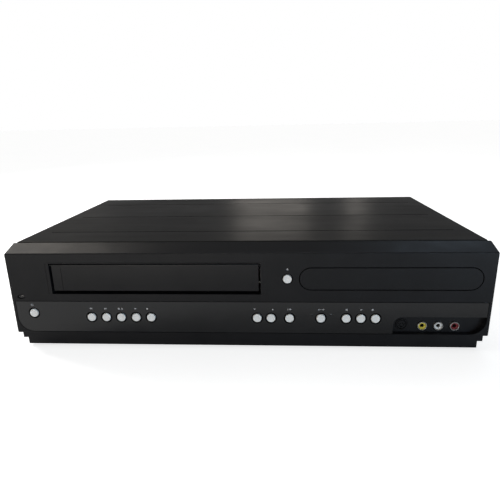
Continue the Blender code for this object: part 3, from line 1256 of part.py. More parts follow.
def make_traverse():
    """Pick-up unit hung at its back: its front is down at rest and level when it plays."""
    pivot = at(DRAWER_X, HINGE_DEPTH, HINGE_Z)
    empty = bpy.data.objects.new("traverse_hinge", None)
    PLAYER.objects.link(empty)
    empty.location = pivot
    empty.rotation_euler = (math.radians(LIFT_ANGLE), 0, 0)

    body = box(
        "traverse_frame", (drive_x(-TRAVERSE_HALF), drive_x(TRAVERSE_HALF)),
        (TRAVERSE_FRONT, TRAVERSE_BACK), (HINGE_Z - TRAVERSE_SHEET / 2, TRAVERSE_TOP))
    window_back = WINDOW_FRONT + WINDOW_LENGTH
    window = box(
        "sled_window",
        (drive_x(-TRAVERSE_HALF + TRAVERSE_BORDER), drive_x(TRAVERSE_HALF - TRAVERSE_BORDER)),
        (WINDOW_FRONT, window_back), (0, COVER_TOP))
    cut(body, window)
    for side in (-1, 1):
        guide = rod(
            "guide_rod", at(drive_x(side * GUIDE_SIDE), (WINDOW_FRONT + window_back) / 2, HINGE_Z),
            GUIDE_ROD, WINDOW_LENGTH + 2 * OVERRUN, "Y", SMALL_SIDES)
        fuse(body, guide)
    motor = rod(
        "spindle_motor", at(DRAWER_X, DISC_DEPTH, HINGE_Z), MOTOR_RADIUS, 2 * MOTOR_HEIGHT, "Z", ROUND_SIDES)
    pins = rod(
        "hinge_pins", pivot, GUIDE_ROD, 2 * (TRAVERSE_HALF + HINGE_LUG), "X", SMALL_SIDES)
    fuse(body, motor, pins)
    dress(body, DARK_NYLON)

    seat = HINGE_Z + MOTOR_HEIGHT + GAP
    table = turned(
        "turntable",
        [(0, TABLE_TOP + SPINDLE_HEIGHT),
         (SPINDLE_RADIUS - SPINDLE_HEIGHT, TABLE_TOP + SPINDLE_HEIGHT),
         (SPINDLE_RADIUS, TABLE_TOP),
         (TABLE_RADIUS, TABLE_TOP),
         (TABLE_RADIUS, TABLE_TOP - TABLE_THICKNESS),
         (SPINDLE_RADIUS, TABLE_TOP - TABLE_THICKNESS),
         (SPINDLE_RADIUS, seat),
         (0, seat)],
        at(DRAWER_X, DISC_DEPTH, 0))
    dress(table, DARK_NYLON)

    sled_front = WINDOW_FRONT + SLED_GAP
    sled_middle = sled_front + SLED_LENGTH / 2
    sled = box(
        "laser_sled", (drive_x(-SLED_HALF), drive_x(SLED_HALF)), (sled_front, sled_front + SLED_LENGTH),
        (HINGE_Z - SLED_HEIGHT / 2, HINGE_Z + SLED_HEIGHT / 2))
    lens = rod(
        "lens", at(DRAWER_X, sled_middle, HINGE_Z + SLED_HEIGHT / 2), LENS_RADIUS, 2 * LENS_HEIGHT,
        "Z", SMALL_SIDES)
    fuse(sled, lens)
    for side in (-1, 1):
        cut(sled, rod(
            "sled_bore", at(drive_x(side * GUIDE_SIDE), sled_middle, HINGE_Z), GUIDE_ROD + GAP,
            2 * SLED_LENGTH, "Y", SMALL_SIDES))
    dress(sled, ZINC_STEEL)
    for piece in (body, table, sled):
        hang(piece, empty, pivot)


def hang(piece, empty, pivot):
    """Parents a piece, and the tools that shape it, to an empty that turns about its pivot."""
    for obj in [piece] + [m.object for m in piece.modifiers if m.type == "BOOLEAN"]:
        obj.parent = empty
        obj.matrix_parent_inverse = Matrix.Translation(-pivot)


def make_clamp():
    """Bridge across the drive, with the magnetic disc clamp trapped loosely in its hole."""
    half = DRIVE_HALF - GAP
    depths = (DISC_DEPTH - BRIDGE_DEPTH / 2, DISC_DEPTH + BRIDGE_DEPTH / 2)
    bridge = box(
        "clamp_bridge", (drive_x(-half), drive_x(half)), depths, (RAIL_TOP + GAP, BRIDGE_TOP))
    under = box(
        "under_bridge", (drive_x(-half + BRIDGE_FOOT), drive_x(half - BRIDGE_FOOT)),
        (depths[0] - OVERRUN, depths[1] + OVERRUN), (0, BRIDGE_BOTTOM))
    hole = rod(
        "clamp_hole", at(DRAWER_X, DISC_DEPTH, BRIDGE_TOP), CLAMP_RADIUS + GAP, BRIDGE_RISE, "Z", ROUND_SIDES)
    cut(bridge, under, hole)
    dress(bridge, ZINC_STEEL)
    flange = BRIDGE_TOP + GAP
    low = TRAY_TOP + CLAMP_BOTTOM_GAP
    clamp = turned(
        "disc_clamp",
        [(0, flange + CLAMP_FLANGE_HEIGHT),
         (CLAMP_RADIUS + CLAMP_FLANGE, flange + CLAMP_FLANGE_HEIGHT),
         (CLAMP_RADIUS + CLAMP_FLANGE, flange),
         (CLAMP_RADIUS, flange),
         (CLAMP_RADIUS, low),
         (CLAMP_RECESS, low),
         (CLAMP_RECESS, low + CLAMP_RECESS_HEIGHT),
         (0, low + CLAMP_RECESS_HEIGHT)],
        at(DRAWER_X, DISC_DEPTH, 0))
    dress(clamp, BLACK_PLASTIC)


def standing_board(name, x, depth):
    """Circuit board on four legs over the chassis."""
    top = BOARD_HEIGHT + BOARD_SHEET
    body = box(name, x, depth, (BOARD_HEIGHT, top))
    foot = CHASSIS_TOP + GAP
    for leg_x in (x[0] + BOARD_LEG_INSET, x[1] - BOARD_LEG_INSET):
        for leg_depth in (depth[0] + BOARD_LEG_INSET, depth[1] - BOARD_LEG_INSET):
            leg = rod(
                name + "_leg", at(leg_x, leg_depth, (foot + BOARD_HEIGHT + BOARD_SHEET / 2) / 2),
                BOARD_LEG, BOARD_HEIGHT + BOARD_SHEET / 2 - foot, "Z", LEG_SIDES)
            fuse(body, leg)
    return dress(body, BOARD_GREEN)


def fit_parts(board, x, depth, shares):
    """Blocks on a board; each is middle x, middle depth, width and depth as shares, and a height."""
    width = x[1] - x[0]
    length = depth[1] - depth[0]
    for i, (mid_x, mid_depth, wide, deep, height_share) in enumerate(shares):
        centre_x = x[0] + mid_x * width
        centre_depth = depth[0] + mid_depth * length
        block = box(
            f"{board.name}_part_{i}",
            (centre_x - wide * width / 2, centre_x + wide * width / 2),
            (centre_depth - deep * length / 2, centre_depth + deep * length / 2),
            (BOARD_HEIGHT + BOARD_SHEET / 2, BOARD_HEIGHT + BOARD_SHEET + height_share * BOARD_ROOM))
        fuse(board, block)


MAIN_PART_SHARES = (
    (0.36, 0.40, 0.28, 0.19, 0.18),
    (0.72, 0.30, 0.18, 0.12, 0.85),
    (0.70, 0.62, 0.22, 0.16, 0.15),
    (0.28, 0.72, 0.16, 0.08, 0.60),
    (0.50, 0.90, 0.70, 0.04, 0.70),
)
POWER_PART_SHARES = (
    (0.50, 0.30, 0.84, 0.16, 1.00),
    (0.46, 0.52, 0.66, 0.11, 0.95),
    (0.50, 0.72, 0.16, 0.20, 0.90),
)


def make_boards():
    x = (drive_x(-MAIN_BOARD_HALF), drive_x(MAIN_BOARD_HALF))
    depth = (MAIN_BOARD_FRONT, MAIN_BOARD_BACK)
    main = standing_board("main_board", x, depth)
    fit_parts(main, x, depth, MAIN_PART_SHARES)
    depth = (POWER_BOARD_FRONT, POWER_BOARD_BACK)
    power = standing_board("power_board", POWER_BOARD_X, depth)
    fit_parts(power, POWER_BOARD_X, depth, POWER_PART_SHARES)


def rear_jack_places():
    places = []
    for column in range(REAR_JACK_COLUMNS):
        for row in range(REAR_JACK_ROWS):
            x = REAR_JACK_X + (column - (REAR_JACK_COLUMNS - 1) / 2) * REAR_JACK_PITCH
            places.append((x, REAR_JACK_Z + row * REAR_JACK_PITCH))
    return places


def aerial_places():
    return [(TUNER_X + side * AERIAL_PITCH / 2, AERIAL_Z) for side in (-1, 1)]


def make_rear_jacks():
    wide = (REAR_JACK_COLUMNS - 1) * REAR_JACK_PITCH / 2 + REAR_BLOCK_MARGIN
    top = REAR_JACK_Z + (REAR_JACK_ROWS - 1) * REAR_JACK_PITCH + REAR_BLOCK_MARGIN
    back = REAR_INSIDE - GAP
    body = box(
        "rear_jack_block", (REAR_JACK_X - wide, REAR_JACK_X + wide), (back - REAR_BLOCK_DEPTH, back),
        (CHASSIS_TOP + GAP, top))
    end = REAR_FACE + REAR_JACK_PROUD
    for x, z in rear_jack_places():
        barrel = rod(
            "rear_barrel", at(x, (end + back) / 2 - OVERRUN, z), PHONO_RADIUS,
            end - back + 2 * OVERRUN, "Y", SMALL_SIDES)
        fuse(body, barrel)
    for x, z in rear_jack_places():
        cut(body, rod("rear_bore", at(x, end, z), PHONO_BORE, 2 * PHONO_BORE_DEPTH, "Y", LEG_SIDES))
    return dress(body, BLACK_PLASTIC)


def make_tuner():
    back = REAR_INSIDE - GAP
    body = box(
        "tuner_can", (TUNER_X - TUNER_WIDTH / 2, TUNER_X + TUNER_WIDTH / 2), (back - TUNER_DEPTH, back),
        (CHASSIS_TOP + GAP, CHASSIS_TOP + TUNER_HEIGHT))
    end = CASE_DEPTH + REAR_PROUD
    for x, z in aerial_places():
        fuse(body, rod(
            "aerial_barrel", at(x, (end + back) / 2 - OVERRUN / 2, z), AERIAL_RADIUS,
            end - back + OVERRUN, "Y", SMALL_SIDES))
    for x, z in aerial_places():
        cut(body, rod("aerial_bore", at(x, end, z), PHONO_BORE, 2 * PHONO_BORE_DEPTH, "Y", LEG_SIDES))
    return dress(body, ZINC_STEEL)


def make_fan():
    """Square fan against the rear panel: a frame with a spoked hub and a five-bladed rotor."""
    back = REAR_INSIDE - GAP
    front = back - FAN_DEPTH
    half = FAN_SIDE / 2
    frame = box("fan_frame", (FAN_X - half, FAN_X + half), (front, back), (FAN_Z - half, FAN_Z + half))
    bore = rod("fan_bore", at(FAN_X, front, FAN_Z), FAN_BORE, 3 * FAN_DEPTH, "Y", ROUND_SIDES)
    cut(frame, bore)
    spokes = (
        box("fan_spoke_x", (FAN_X - half + OVERRUN, FAN_X + half - OVERRUN),
            (front, front + FAN_SPOKE_DEPTH), (FAN_Z - FAN_SPOKE / 2, FAN_Z + FAN_SPOKE / 2)),
        box("fan_spoke_z", (FAN_X - FAN_SPOKE / 2, FAN_X + FAN_SPOKE / 2),
            (front, front + FAN_SPOKE_DEPTH), (FAN_Z - half + OVERRUN, FAN_Z + half - OVERRUN)),
    )
    fuse(frame, *spokes)
    dress(frame, BLACK_PLASTIC)
    hub_front = front + FAN_SPOKE_DEPTH + GAP
    middle = hub_front + FAN_HUB_DEPTH / 2
    rotor = rod("fan_rotor", at(FAN_X, middle, FAN_Z), FAN_HUB, FAN_HUB_DEPTH, "Y", ROUND_SIDES)
    reach = FAN_BORE - FAN_TIP_GAP
    for i in range(FAN_BLADES):
        bm = bmesh.new()
        bmesh.ops.create_cube(bm, size=1)
        bmesh.ops.scale(
            bm, vec=(reach - FAN_HUB / 2, FAN_BLADE_SHEET, FAN_BLADE_CHORD), verts=bm.verts)
        pitch = Matrix.Rotation(math.radians(FAN_BLADE_PITCH), 4, "X")
        shift = Matrix.Translation(((reach + FAN_HUB / 2) / 2, 0, 0))
        turn = Matrix.Rotation(2 * math.pi * i / FAN_BLADES, 4, "Y")
        bmesh.ops.transform(bm, matrix=turn @ shift @ pitch, verts=bm.verts)
        mesh = bpy.data.meshes.new("fan_blade")
        bm.to_mesh(mesh)
        bm.free()
        fuse(rotor, add_object(f"fan_blade_{i}", mesh, at(FAN_X, middle, FAN_Z)))
    return dress(rotor, BLACK_PLASTIC)


def make_rear_panel():
    body = box(
        "rear_panel", (-HALF_LIP, HALF_LIP), (REAR_INSIDE, REAR_FACE), (CHASSIS_BOTTOM, LIP_TOP))
    for x, z in rear_jack_places():
        cut(body, rod("rear_jack_hole", at(x, REAR_FACE, z), PHONO_RADIUS + GAP, REAR_PROUD, "Y"))
    for x, z in aerial_places():
        cut(body, rod("aerial_hole", at(x, REAR_FACE, z), AERIAL_RADIUS + GAP, REAR_PROUD, "Y"))
    cut(body, rod("gland_hole", at(GLAND_X, REAR_FACE, GLAND_Z), GLAND_NECK + GAP, REAR_PROUD, "Y"))
    for i in range(VENT_SLOTS):
        z = FAN_Z + (i - (VENT_SLOTS - 1) / 2) * VENT_SLOT_PITCH
        slot = box(
            f"vent_slot_{i}", (FAN_X - VENT_WIDTH / 2, FAN_X + VENT_WIDTH / 2),
            (REAR_INSIDE - OVERRUN, REAR_FACE + OVERRUN),
            (z - VENT_SLOT_HEIGHT / 2, z + VENT_SLOT_HEIGHT / 2))
        cut(body, slot)
    return dress(body, ZINC_STEEL)


def make_gland():
    """Bushing in the rear panel that the mains lead passes through."""
    outside = REAR_FACE + GAP
    inside = REAR_INSIDE - GAP
    profile = [
        (0, -inside + GLAND_TAIL),
        (GLAND_NECK + GLAND_FLANGE / 2, -inside + GLAND_TAIL),
        (GLAND_NECK + GLAND_FLANGE / 2, -inside),
        (GLAND_NECK, -inside),
        (GLAND_NECK, -outside),
        (GLAND_NECK + GLAND_FLANGE, -outside),
        (GLAND_NECK + GLAND_FLANGE, -outside - GLAND_FLANGE_DEPTH / 2),
        (GLAND_NECK + GLAND_FLANGE / 2, -outside - GLAND_FLANGE_DEPTH),
        (GLAND_BORE, -outside - GLAND_FLANGE_DEPTH),
        (GLAND_BORE, -inside),
        (0, -inside),
    ]
    return dress(turned("cord_gland", profile, at(GLAND_X, 0, GLAND_Z), "-Y", SMALL_SIDES), RUBBER)


def make_phono(name, x):
    """Front phono socket: a barrel with a bore, on a square body against the button board."""
    front = SOCKET_SETBACK
    body_front = SOCKET_WALL_BACK + GAP
    back = FRONT_BOARD_DEPTH - GAP
    barrel = turned(
        name,
        [(0, -front), (PHONO_RADIUS - BUTTON_EDGE, -front),
         (PHONO_RADIUS, -front - BUTTON_EDGE), (PHONO_RADIUS, -body_front - PHONO_BACK),
         (0, -body_front - PHONO_BACK)],
        at(x, 0, PHONO_Z), "-Y", ROUND_SIDES)
    block = box(
        name + "_body", (x - PHONO_BODY / 2, x + PHONO_BODY / 2), (body_front, back),
        (CAVITY_BOTTOM + GAP, CAVITY_BOTTOM + GAP + PHONO_BODY))
    fuse(barrel, block)
    bore = rod(name + "_bore", at(x, front, PHONO_Z), PHONO_BORE, 2 * PHONO_BORE_DEPTH, "Y", ROUND_SIDES)
    cut(barrel, bore)
    return dress(barrel, ZINC_STEEL)


def make_svideo():
    front = SOCKET_RECESS_DEPTH - SVIDEO_PROUD
    back = FRONT_BOARD_DEPTH - GAP
    groove = front + SOCKET_RECESS_DEPTH / 2
    body = turned(
        "svideo_socket",
        [(0, -front - SVIDEO_PROUD / 2), (SVIDEO_INSERT, -front - SVIDEO_PROUD / 2),
         (SVIDEO_INSERT, -groove), (SVIDEO_RADIUS - SVIDEO_RING, -groove),
         (SVIDEO_RADIUS - SVIDEO_RING, -front), (SVIDEO_RADIUS, -front),
         (SVIDEO_RADIUS, -back), (0, -back)],
        at(SVIDEO_X, 0, SVIDEO_Z), "-Y", ROUND_SIDES)
    return dress(body, BLACK_PLASTIC)


make_front_panel()
make_control_strip()
for button in BUTTONS:
    make_button(*button)
make_power_lamp()
make_front_board()
make_top_cover()
make_bottom_chassis()
FOOT_NAMES = ("foot_front_left", "foot_front_right", "foot_rear_left", "foot_rear_right")
for foot_name, (foot_x, foot_depth) in zip(FOOT_NAMES, foot_places()):
    make_foot(foot_name, foot_x, foot_depth)
for side_name, side in (("left", -1), ("right", 1)):
    for place_name, depth in zip(("front", "rear"), SCREW_DEPTHS):
        make_cover_screw(f"cover_screw_{side_name}_{place_name}", side, depth)
make_door()
for socket_name, socket_x in zip(PHONO_NAMES, PHONO_PLACES):
    make_phono(socket_name, socket_x)
make_svideo()
make_deck()
make_slider()
make_holder()
make_reel("supply_reel", -1)
make_reel("take_up_reel", 1)
make_drum()
make_capstan()
make_pinch_arm()
make_tray_front()
make_tray()
make_tray_gear()
make_drive_frame()
make_traverse()
make_clamp()
make_boards()
make_rear_jacks()
make_tuner()
make_fan()
make_rear_panel()
make_gland()
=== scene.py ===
"""Looks of the disc and cassette player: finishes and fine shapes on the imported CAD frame.

Lengths are metres in the CAD's own frame. The front faces -Y, +X is to a viewer's right.
Depths are counted from the face of the front panel towards the back, heights from the floor.
"""
import math

import bmesh
import bpy
from mathutils import Matrix, Vector


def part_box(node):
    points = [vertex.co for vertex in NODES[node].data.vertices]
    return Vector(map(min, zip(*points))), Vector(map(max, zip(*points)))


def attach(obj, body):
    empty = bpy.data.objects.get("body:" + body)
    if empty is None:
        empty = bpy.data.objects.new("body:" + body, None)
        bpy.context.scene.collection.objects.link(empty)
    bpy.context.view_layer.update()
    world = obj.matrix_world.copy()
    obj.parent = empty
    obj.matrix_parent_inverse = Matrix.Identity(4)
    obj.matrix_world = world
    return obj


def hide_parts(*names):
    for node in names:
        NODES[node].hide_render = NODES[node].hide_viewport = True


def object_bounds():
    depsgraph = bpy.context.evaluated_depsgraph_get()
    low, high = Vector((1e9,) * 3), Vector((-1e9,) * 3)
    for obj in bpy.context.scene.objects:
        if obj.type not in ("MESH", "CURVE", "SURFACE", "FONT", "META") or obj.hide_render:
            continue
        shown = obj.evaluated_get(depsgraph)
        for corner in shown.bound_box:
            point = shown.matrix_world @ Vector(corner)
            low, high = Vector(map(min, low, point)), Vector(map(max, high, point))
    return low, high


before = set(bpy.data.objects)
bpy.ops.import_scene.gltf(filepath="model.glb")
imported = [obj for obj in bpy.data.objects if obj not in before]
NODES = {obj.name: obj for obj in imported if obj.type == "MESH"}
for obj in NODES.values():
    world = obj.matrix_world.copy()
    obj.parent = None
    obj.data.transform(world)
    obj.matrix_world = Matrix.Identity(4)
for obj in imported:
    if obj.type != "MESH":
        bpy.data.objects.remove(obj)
CAD_BOX = [list(corner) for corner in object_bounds()]

MM = 0.001

# Places that the frame gives
FACE_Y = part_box("front_panel")[0].y
CASE_LOW, CASE_HIGH = (Vector(corner) for corner in CAD_BOX)
STRIP_LOW, STRIP_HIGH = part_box("control_strip")
DOOR_LOW, DOOR_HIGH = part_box("cassette_door")
DRAWER_LOW, DRAWER_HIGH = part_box("tray_front")

# Camera, fitted to the photograph
CAMERA_PLACE = Vector((29.8 * MM, FACE_Y - 362.8 * MM, 202.2 * MM))
CAMERA_YAW = 3.73
CAMERA_PITCH = -16.28
CAMERA_ROLL = 1.26
LENS = 31.28
SENSOR_WIDTH = 36

# Sky: how bright it is to plain surfaces, turning from front to back, and to reflections by height
SKY_FRONT = 0.05
SKY_BACK = 0.8
SKY_SOURCE = (-0.45, 0.85, 0.0)
SKY_TURN_START = -0.25
SKY_TURN_END = 0.8
SKY_LEVELS = ((0.0, 0.6), (0.08, 0.36), (0.16, 0.15), (0.26, 0.06), (0.5, 0.1), (1.0, 0.3))

# How much the floor glows to the camera, and the lamps
FLOOR_GLOW = 0.74
KEY_POWER = 11
FRONT_POWER = 7
FILL_POWER = 8
BACK_LEFT_POWER = 2.5
BACK_RIGHT_POWER = 0.9
OVERHEAD_POWER = 1.2
SKYLINE_POWER = 0.34
COOL = (0.6, 0.79, 1.0)
WARM = (1.0, 0.93, 0.84)

# Distance at which points are merged, least angle that counts as an edge, and the radius on the CAD's edges
MERGE = MM / 1000
EDGE_ANGLE = math.radians(28)
NODE_EDGE = 0.2 * MM

# Number of flats on round pieces
FINE_SIDES = 64
MEDIUM_SIDES = 32
COARSE_SIDES = 24
PIN_SIDES = 16


# Node helpers

class Nodes:
    """Short way to build a material's node tree."""

    def __init__(self, material, shader="Principled BSDF", coordinates="Object"):
        material.use_nodes = True
        self.tree = material.node_tree
        self.shader = self.tree.nodes[shader]
        self.coordinates = self.add("ShaderNodeTexCoord").outputs[coordinates]

    def add(self, kind, **settings):
        node = self.tree.nodes.new(kind)
        for name, value in settings.items():
            setattr(node, name, value)
        return node

    def link(self, source, target):
        self.tree.links.new(source, target)

    def noise(self, size, detail=2.0, roughness=0.5, stretch=(1, 1, 1)):
        """Noise whose blotches are about size metres across."""
        mapping = self.add("ShaderNodeMapping")
        mapping.inputs["Scale"].default_value = [s / size for s in stretch]
        self.link(self.coordinates, mapping.inputs["Vector"])
        noise = self.add("ShaderNodeTexNoise")
        noise.inputs["Scale"].default_value = 1.0
        noise.inputs["Detail"].default_value = detail
        noise.inputs["Roughness"].default_value = roughness
        self.link(mapping.outputs["Vector"], noise.inputs["Vector"])
        return noise.outputs["Fac"]

    def math(self, operation, first, second):
        node = self.add("ShaderNodeMath", operation=operation)
        for socket, value in zip(node.inputs, (first, second)):
            if isinstance(value, float):
                socket.default_value = value
            else:
                self.link(value, socket)
        return node.outputs["Value"]

    def spread(self, value, low, high, start=0.3, end=0.7):
        """Maps a value from start..end to low..high."""
        spread = self.add("ShaderNodeMapRange")
        spread.inputs["From Min"].default_value = start
        spread.inputs["From Max"].default_value = end
        spread.inputs["To Min"].default_value = low
        spread.inputs["To Max"].default_value = high
        self.link(value, spread.inputs["Value"])
        return spread.outputs["Result"]

    def blend(self, value, first, second):
        """Colour between two, by a value from 0 to 1."""
        mix = self.add("ShaderNodeMix", data_type="RGBA")
        for socket, colour in (("A", first), ("B", second)):
            target = [s for s in mix.inputs if s.name == socket and s.type == "RGBA"][0]
            if isinstance(colour, tuple):
                target.default_value = (*colour, 1.0)
            else:
                self.link(colour, target)
        self.link(value, mix.inputs["Factor"])
        return [s for s in mix.outputs if s.type == "RGBA"][0]

    def bump(self, height, distance, strength):
        bump = self.add("ShaderNodeBump")
        bump.inputs["Distance"].default_value = distance
        bump.inputs["Strength"].default_value = strength
        self.link(height, bump.inputs["Height"])
        return bump.outputs["Normal"]

    def finish(self, colour, roughness, normal=None):
        self.link(colour, self.shader.inputs["Base Color"])
        self.link(roughness, self.shader.inputs["Roughness"])
        if normal is not None:
            self.link(normal, self.shader.inputs["Normal"])


def moulded(name, dark, light, roughness, grain=0.35 * MM, depth=0.02 * MM, specular=0.5):
    """Moulded plastic: fine spark grain, cloudy colour and worn, slightly smoother patches."""
    material = bpy.data.materials.new(name)
    nodes = Nodes(material)
    cloud = nodes.spread(nodes.noise(60 * MM, 3), 0.0, 1.0)
    fine = nodes.noise(grain, 2)
    wear = nodes.noise(25 * MM, 4, 0.6)
    colour = nodes.blend(cloud, dark, light)
    gloss = nodes.spread(wear, roughness - 0.06, roughness + 0.06)
    nodes.finish(colour, gloss, nodes.bump(fine, depth, 0.6))
    nodes.shader.inputs["Specular IOR Level"].default_value = specular
    return material


def painted_steel(name, dark, light, roughness):
    """Black paint on steel sheet: faint orange peel, dust and long soft rolling marks."""
    material = bpy.data.materials.new(name)
    nodes = Nodes(material)
    peel = nodes.noise(1.2 * MM, 2)
    dust = nodes.noise(0.5 * MM, 6, 0.7)
    rolled = nodes.noise(18 * MM, 3, 0.5, (0.15, 1, 1))
    smudge = nodes.noise(90 * MM, 3, 0.55)
    colour = nodes.blend(nodes.spread(dust, 0.0, 1.0, 0.55, 0.85), dark, light)
    gloss = nodes.math("ADD", nodes.spread(rolled, roughness - 0.03, roughness + 0.03),
                       nodes.spread(smudge, -0.04, 0.05))
    nodes.finish(colour, gloss, nodes.bump(peel, 0.012 * MM, 0.5))
    nodes.shader.inputs["Specular IOR Level"].default_value = 0.14
    return material


def metal(name, dark, light, roughness, stretch=(1, 1, 1), size=4 * MM):
    """Bare or plated metal with drawn marks and a patchy bloom."""
    material = bpy.data.materials.new(name)
    nodes = Nodes(material)
    marks = nodes.noise(size, 5, 0.6, stretch)
    bloom = nodes.noise(14 * MM, 3)
    colour = nodes.blend(nodes.spread(bloom, 0.0, 1.0), dark, light)
    nodes.finish(colour, nodes.spread(marks, roughness - 0.08, roughness + 0.1),
                 nodes.bump(marks, 0.01 * MM, 0.4))
    nodes.shader.inputs["Metallic"].default_value = 1.0
    return material


def circuit_board(name):
    """Green lacquered board with copper runs under the lacquer."""
    material = bpy.data.materials.new(name)
    nodes = Nodes(material)
    brick = nodes.add("ShaderNodeTexBrick")
    brick.inputs["Scale"].default_value = 1 / (9 * MM)
    brick.inputs["Mortar Size"].default_value = 0.06
    brick.inputs["Color1"].default_value = (0.012, 0.085, 0.035, 1)
    brick.inputs["Color2"].default_value = (0.016, 0.11, 0.045, 1)
    brick.inputs["Mortar"].default_value = (0.03, 0.17, 0.07, 1)
    nodes.link(nodes.coordinates, brick.inputs["Vector"])
    stain = nodes.noise(8 * MM, 3)
    colour = nodes.blend(nodes.spread(stain, 0.0, 0.35), brick.outputs["Color"], (0.01, 0.06, 0.03))
    nodes.finish(colour, nodes.spread(stain, 0.3, 0.45), nodes.bump(brick.outputs["Fac"], 0.03 * MM, 0.5))
    return material


def print_ink(name):
    """Pale ink, a little thin in places."""
    material = bpy.data.materials.new(name)
    nodes = Nodes(material)
    thin = nodes.noise(0.6 * MM, 3)
    nodes.finish(nodes.blend(nodes.spread(thin, 0.0, 1.0), (0.34, 0.34, 0.35), (0.46, 0.46, 0.47)),
                 nodes.spread(thin, 0.45, 0.6))
    return material


MATERIALS = {
    # Near-black, dull finish on stems, funnels, contacts and screw crosses: painted shade in holes, gaps and
    # recesses.
    "painted_hole_shade": moulded("painted_shade_black", (0.0015, 0.0015, 0.0016), (0.0025, 0.0025, 0.0027), 0.7,
                          specular=0.1),
    "black_plastic": moulded("moulded_black", (0.0065, 0.0066, 0.0076), (0.0085, 0.0086, 0.0098), 0.38,
                             specular=0.21),
    "strip_plastic": moulded("strip_black", (0.0032, 0.0033, 0.0042), (0.0045, 0.0047, 0.0058), 0.17,
                             0.3 * MM, 0.003 * MM, 0.7),
    "black_painted_steel": painted_steel("painted_black", (0.0095, 0.0092, 0.0090), (0.0180, 0.0170, 0.0165),
                                         0.34),
    "button_silver": moulded("button_pale", (0.78, 0.78, 0.77), (0.85, 0.85, 0.83), 0.36, 0.25 * MM,
                             0.01 * MM),
    "lamp_window": moulded("lamp_smoke", (0.006, 0.006, 0.007), (0.010, 0.009, 0.010), 0.14, 0.8 * MM,
                           0.002 * MM),
    "rubber": moulded("foot_rubber", (0.018, 0.018, 0.018), (0.030, 0.029, 0.028), 0.78, 0.5 * MM, 0.05 * MM,
                      0.3),
    "zinc_steel": metal("zinc_plate", (0.50, 0.51, 0.52), (0.58, 0.58, 0.58), 0.38, (0.08, 1, 1), 0.6 * MM),
    "machined_metal": metal("turned_metal", (0.60, 0.59, 0.57), (0.76, 0.75, 0.72), 0.3, (1, 1, 12),
                            3 * MM),
    "board_green": circuit_board("board_green"),
    "dark_nylon": moulded("nylon_dark", (0.040, 0.040, 0.043), (0.055, 0.055, 0.058), 0.5, 0.6 * MM),
    "tray_plastic": moulded("tray_black", (0.014, 0.014, 0.015), (0.019, 0.019, 0.020), 0.5, 0.4 * MM,
                            0.03 * MM),
    "socket_yellow": moulded("socket_yellow", (0.46, 0.38, 0.035), (0.54, 0.45, 0.06), 0.4),
    "socket_white": moulded("socket_white", (0.58, 0.58, 0.57), (0.66, 0.66, 0.64), 0.4),
    "socket_red": moulded("socket_red", (0.12, 0.008, 0.012), (0.16, 0.012, 0.016), 0.4),
}


SLOT_NODES = {
    "black_plastic": ("front_panel", "cassette_door", "tray_front", "svideo_socket", "disc_clamp",
                      "fan_frame", "fan_rotor", "rear_jack_block"),
    "strip_plastic": ("control_strip",),
    "lamp_window": ("power_lamp_window",),
    "black_painted_steel": ("top_cover", "cover_screw_left_front", "cover_screw_left_rear",
                            "cover_screw_right_front", "cover_screw_right_rear"),
    "button_silver": tuple(name for name in NODES if name.endswith("_button")),
    "rubber": ("foot_front_left", "foot_front_right", "foot_rear_left", "foot_rear_right", "cord_gland",
               "pinch_roller"),
    "zinc_steel": ("bottom_chassis", "rear_panel", "vcr_deck", "loader_carriage", "cassette_holder",
                   "clamp_bridge", "tuner_can", "laser_sled", "video_socket", "audio_left_socket",
                   "audio_right_socket"),
    "machined_metal": ("drum_lower", "drum_upper", "capstan", "pinch_arm"),
    "board_green": ("front_board", "main_board", "power_board"),
    "dark_nylon": ("supply_reel", "take_up_reel", "tray_gear", "drive_frame", "traverse_frame",
                   "turntable"),
    "tray_plastic": ("disc_tray",),
}


def soften(obj, width, segments=2):
    """Rounds the sharp edges and leaves flat and round faces smooth."""
    obj.data.shade_smooth()
    obj.data.set_sharp_from_angle(angle=EDGE_ANGLE)
    bevel = obj.modifiers.new("edges", "BEVEL")
    bevel.width = width
    bevel.segments = segments
    bevel.limit_method = "ANGLE"
    bevel.angle_limit = EDGE_ANGLE
    bevel.harden_normals = True
    return obj


def dress_nodes():
    """Gives every CAD node its finish, and a small radius on its edges."""
    for slot_name, names in SLOT_NODES.items():
        for name in names:
            obj = NODES[name]
            obj.data.materials.clear()
            obj.data.materials.append(MATERIALS[slot_name])
            soften(obj, NODE_EDGE)


# Mesh helpers

def place_at(x, depth, z):
    return Vector((x, FACE_Y + depth, z))


def add_piece(name, mesh, slot_name, body="root", stands_for=(), edge=0.0, material=None):
    """New piece of the player, in place in the CAD frame."""
    obj = bpy.data.objects.new(name, mesh)
    bpy.context.scene.collection.objects.link(obj)
    mesh.materials.clear()
    mesh.materials.append(material or MATERIALS[slot_name])
    mesh.shade_smooth()
    mesh.set_sharp_from_angle(angle=EDGE_ANGLE)
    if edge:
        soften(obj, edge)
    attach(obj, body)
    if stands_for:
        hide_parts(*stands_for)
    return obj


def mesh_from(bm, name):
    bmesh.ops.recalc_face_normals(bm, faces=bm.faces)
    mesh = bpy.data.meshes.new(name)
    bm.to_mesh(mesh)
    bm.free()
    return mesh


FRONT = Matrix.Rotation(math.radians(90), 4, "X")
BACK = Matrix.Rotation(math.radians(-90), 4, "X")
UP = Matrix.Identity(4)
RIGHT = Matrix.Rotation(math.radians(90), 4, "Y")
LEFT = Matrix.Rotation(math.radians(-90), 4, "Y")


